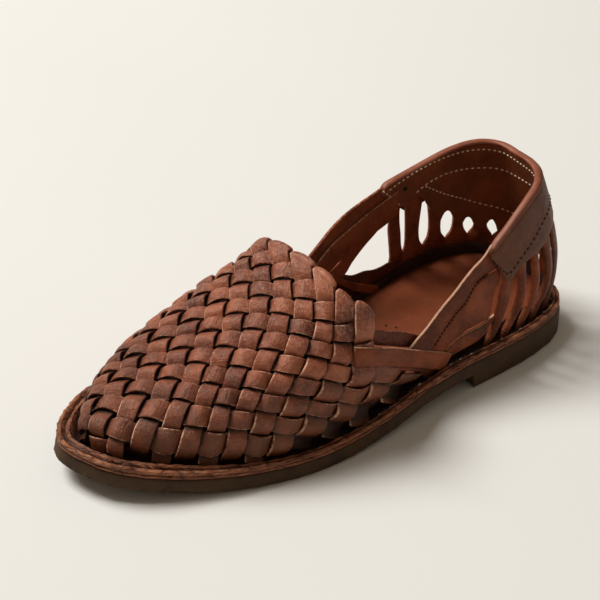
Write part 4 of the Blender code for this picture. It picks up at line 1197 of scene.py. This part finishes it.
def strap_leather(name, dark, mid, light, raw_colour, low_colour, low_from, low_to, gloss, painted_highlight):
    """Vegetable-tanned strap leather: mottled, darker low down, pale where it was cut, with painted shade
    where its finish asks and, on the vamp, a painted highlight higher up.
    """
    f = Finish(name, specular=gloss)
    f.shader.inputs["Specular Tint"].default_value = (1.0, 0.72, 0.62, 1.0)
    raw, tone, fold = f.finish()
    cloud = f.noise(90.0, 4.0, 0.6)
    fine = f.noise(600.0, 3.0, 0.6)
    mood = f.math("ADD", tone, f.range(cloud, 0.3, 0.7, -0.32, 0.32))
    mood = f.math("ADD", mood, f.range(fine, 0.3, 0.7, -0.10, 0.10))
    colour = f.mix(f.range(mood, 0.1, 0.55), dark, mid)
    colour = f.mix(f.range(mood, 0.5, 1.0), colour, light)
    # Darker low down towards the welt: partly burnish, partly painted shade.
    low = f.math("ADD", f.height(), f.range(cloud, 0.3, 0.7, -0.006, 0.006))
    colour = f.mix(f.range(low, low_from, low_to, 0.8, 0.0), colour, low_colour)
    # Lighter patches: scuffs, and partly a painted sheen.
    scuff_and_sheen = f.range(f.noise(260.0, 6.0, 0.7), 0.62, 0.75)
    colour = f.mix(f.math("MULTIPLY", scuff_and_sheen, 0.35), colour, light)
    fibre = f.noise(620.0, 4.0, 0.65, (0.85, 1.3, 1.0), "UV", 1.2)
    # Painted highlight: the fibre streaks turn paler higher up, where the vamp's top catches the light.
    highlight_by_height = f.range(f.height(), 0.025, 0.075, 0.0, painted_highlight)
    colour = f.mix(f.math("MULTIPLY", f.range(fibre, 0.46, 0.66), highlight_by_height), colour, raw_colour)
    edge = f.range(f.math("ADD", raw, f.range(fine, 0.3, 0.7, -0.35, 0.35)), 0.45, 0.95)
    colour = f.mix(f.math("MULTIPLY", edge, 0.85), colour, raw_colour)
    # Painted shade, near black, in dips, at strap ends and on walls turned from the light.
    colour = f.mix(f.range(fold, 0.215, 0.32, 0.0, 0.9), colour, (0.012, 0.005, 0.003))
    f.colour(colour)
    rough = f.math("ADD", f.range(fine, 0.3, 0.7, 0.28, 0.46), f.math("MULTIPLY", edge, 0.3))
    f.rough(rough)
    grain = f.noise(1400.0, 4.0, 0.65)
    wrinkle = f.noise(260.0, 4.0, 0.6, (2.2, 0.6, 1.0), "UV", 0.6)
    f.bump((cloud, 0.5, 1.0), (wrinkle, 0.8, 0.7), (fibre, 0.8, 0.6), (grain, 0.8, 0.3))
    return f.material


def plain_leather(name, dark, light, scale=60.0, shine=(0.45, 0.62), grain_depth=0.12, scuffs=None):
    """Smooth leather, clouded between two colours and darkened where its finish asks: painted shade at the
    footbed's edge, and darker on the collar rim's outer half.
    """
    f = Finish(name)
    fold = f.finish()[2]
    cloud = f.noise(scale, 4.0, 0.6)
    fine = f.noise(700.0, 3.0, 0.6)
    mood = f.math("ADD", cloud, f.range(fine, 0.3, 0.7, -0.06, 0.06))
    colour = f.mix(f.range(mood, 0.32, 0.68), dark, light)
    if scuffs:
        scuffed = f.noise(180.0, 6.0, 0.75, distort=0.8)
        colour = f.mix(f.range(scuffed, 0.62, 0.76, 0.0, 0.6), colour, scuffs)
    # Painted shade at the footbed's edge; on the collar rim, its darker outer half.
    colour = f.mix(f.range(fold, 0.1, 1.0, 0.0, 0.9), colour, (0.015, 0.007, 0.004))
    f.colour(colour)
    f.rough(f.range(f.noise(300.0, 4.0, 0.6), 0.3, 0.7, *shine))
    f.bump((cloud, 0.4, 0.8), (f.noise(1600.0, 4.0, 0.65), 0.6, grain_depth))
    return f.material


def welt_finish(name):
    """Stacked and waxed sole leather, streaked along its layers, lighter on its upper edge from wear and a
    painted highlight, with painted shade in its crevices and channel.
    """
    f = Finish(name)
    raw, _, fold = f.finish()
    streak = f.noise(120.0, 5.0, 0.65, (0.35, 0.35, 5.0))
    fine = f.noise(800.0, 3.0, 0.6)
    crack = f.cells(130.0, stretch=(0.5, 0.5, 2.6))
    colour = f.mix(f.range(streak, 0.35, 0.65), (0.080, 0.022, 0.009), (0.29, 0.090, 0.038))
    worn = f.range(f.noise(220.0, 5.0, 0.7), 0.52, 0.70)
    colour = f.mix(f.math("MULTIPLY", worn, 0.5), colour, (0.46, 0.21, 0.11))
    # Wear with a painted highlight along the upper edge.
    raw_and_highlight = f.math("MULTIPLY", raw, f.range(f.noise(90.0, 5.0, 0.7), 0.36, 0.60, 0.0, 0.75))
    colour = f.mix(raw_and_highlight, colour, (0.45, 0.18, 0.088))
    colour = f.mix(f.range(crack, 0.0, 0.05, 0.75, 0.0), colour, (0.018, 0.008, 0.005))
    # Painted shade in the crevices and the channel.
    colour = f.mix(f.range(fold, 0.1, 1.0, 0.0, 0.93), colour, (0.010, 0.005, 0.003))
    f.colour(colour)
    f.rough(f.range(fine, 0.3, 0.7, 0.42, 0.64))
    f.bump((streak, 0.9, 0.9), (f.range(crack, 0.0, 0.08), 0.6, 0.35), (f.noise(420.0, 5.0, 0.7), 0.8, 0.5),
           (fine, 0.5, 0.15))
    return f.material


def rubber_finish(name):
    """Moulded crepe-dark rubber, matte, dusty and nicked along its lower edge."""
    f = Finish(name)
    cloud = f.noise(70.0, 4.0, 0.6)
    fine = f.noise(900.0, 3.0, 0.65)
    colour = f.mix(f.range(cloud, 0.35, 0.65), (0.042, 0.020, 0.008), (0.076, 0.040, 0.018))
    colour = f.mix(f.range(fine, 0.60, 0.75, 0.0, 0.5), colour, (0.13, 0.085, 0.052))
    f.colour(colour)
    f.rough(f.range(cloud, 0.3, 0.7, 0.62, 0.80))
    f.bump((cloud, 0.3, 0.6), (fine, 0.5, 0.12))
    return f.material


def thread_finish(name, dark, light):
    f = Finish(name, 0.75)
    f.colour(f.mix(f.range(f.noise(500.0, 3.0, 0.6), 0.35, 0.65), dark, light))
    f.bump((f.noise(3000.0, 2.0, 0.5), 0.6, 0.1))
    return f.material


# ---- floor, light and camera ---------------------------------------------------------------------------
KEY_PLACE, KEY_SIZE, KEY_POWER = (1.05, -2.08, 3.28), 1.9, 162.0
CAMERA_PLACE, CAMERA_TURN, CAMERA_LENS = (0.4031, 0.4546, 0.4248), (57.966, -2.582, 141.314), 94.24


def build_set():
    bpy.ops.mesh.primitive_plane_add(size=6.0, location=(0.0, 0.0, -0.0004))
    floor = bpy.context.object
    floor.name = "studio_floor"
    f = Finish("pale_floor", 0.85)
    f.colour(f.mix(f.range(f.noise(3.0, 2.0, 0.5), 0.3, 0.7), (0.87, 0.855, 0.815), (0.89, 0.875, 0.84)))
    floor.data.materials.append(f.material)

    world = bpy.data.worlds.new("studio")
    world.use_nodes = True
    backdrop = world.node_tree.nodes["Background"]
    backdrop.inputs["Color"].default_value = (1.0, 0.84, 0.66, 1.0)
    backdrop.inputs["Strength"].default_value = 0.20
    bpy.context.scene.world = world

    lamp = bpy.data.lights.new("key_light", "AREA")
    lamp.size = KEY_SIZE
    lamp.energy = KEY_POWER
    lamp.color = (1.0, 1.0, 0.985)
    holder = bpy.data.objects.new("key_light", lamp)
    bpy.context.collection.objects.link(holder)
    holder.location = KEY_PLACE
    holder.rotation_euler = (-Vector(KEY_PLACE)).to_track_quat("-Z", "Y").to_euler()

    camera = bpy.data.objects.new("camera", bpy.data.cameras.new("camera"))
    bpy.context.collection.objects.link(camera)
    camera.location = CAMERA_PLACE
    camera.rotation_euler = tuple(math.radians(angle) for angle in CAMERA_TURN)
    camera.data.lens = CAMERA_LENS
    camera.data.sensor_width = 36.0
    camera.data.clip_start = 0.01
    bpy.context.scene.camera = camera
    bpy.context.scene.view_settings.view_transform = "Standard"


build_set()
vamp_leather = strap_leather(
    "vamp_strap_leather", (0.080, 0.015, 0.006), (0.220, 0.047, 0.017), (0.430, 0.122, 0.052),
    raw_colour=(0.88, 0.50, 0.33), low_colour=(0.100, 0.031, 0.008), low_from=0.014, low_to=0.046,
    gloss=0.75, painted_highlight=0.34)
quarter_leather = strap_leather(
    "quarter_strap_leather", (0.085, 0.018, 0.006), (0.170, 0.037, 0.012), (0.31, 0.074, 0.024),
    raw_colour=(0.75, 0.44, 0.29), low_colour=(0.080, 0.030, 0.010), low_from=0.012, low_to=0.026,
    gloss=0.3, painted_highlight=0.0)
panel_leather = plain_leather("collar_panel_leather", (0.085, 0.022, 0.007), (0.145, 0.042, 0.014),
                              scuffs=(0.19, 0.070, 0.030))
lining_leather = plain_leather("collar_lining_leather", (0.15, 0.036, 0.009), (0.27, 0.072, 0.019))
rim_leather = plain_leather("collar_rim_leather", (0.25, 0.072, 0.036), (0.38, 0.135, 0.078),
                            shine=(0.36, 0.50))
footbed_leather = plain_leather("footbed_smooth_leather", (0.175, 0.040, 0.014), (0.260, 0.067, 0.026),
                                scale=35.0, shine=(0.40, 0.55), grain_depth=0.05)
# Near-black leather for the backings, which are painted shade behind the straps.
shadow_leather = plain_leather("painted_shadow_leather", (0.012, 0.006, 0.004), (0.040, 0.015, 0.008))
dark_thread = thread_finish("dark_waxed_thread", (0.012, 0.008, 0.006), (0.03, 0.02, 0.014))
cream_thread = thread_finish("cream_waxed_thread", (0.78, 0.58, 0.40), (0.95, 0.80, 0.62))
welt_thread = thread_finish("greyed_welt_thread", (0.17, 0.14, 0.12), (0.40, 0.35, 0.31))

build_weave(vamp_leather)
build_underlay(shadow_leather)
build_quarters(quarter_leather, shadow_leather)
build_collar(panel_leather, lining_leather, rim_leather)
build_collar_stitches(dark_thread, cream_thread)
build_sole(rubber_finish("outsole_moulded_rubber"), welt_finish("welt_stacked_leather"), footbed_leather)
build_footbed_nails(dark_thread)
build_welt_stitches(welt_thread)
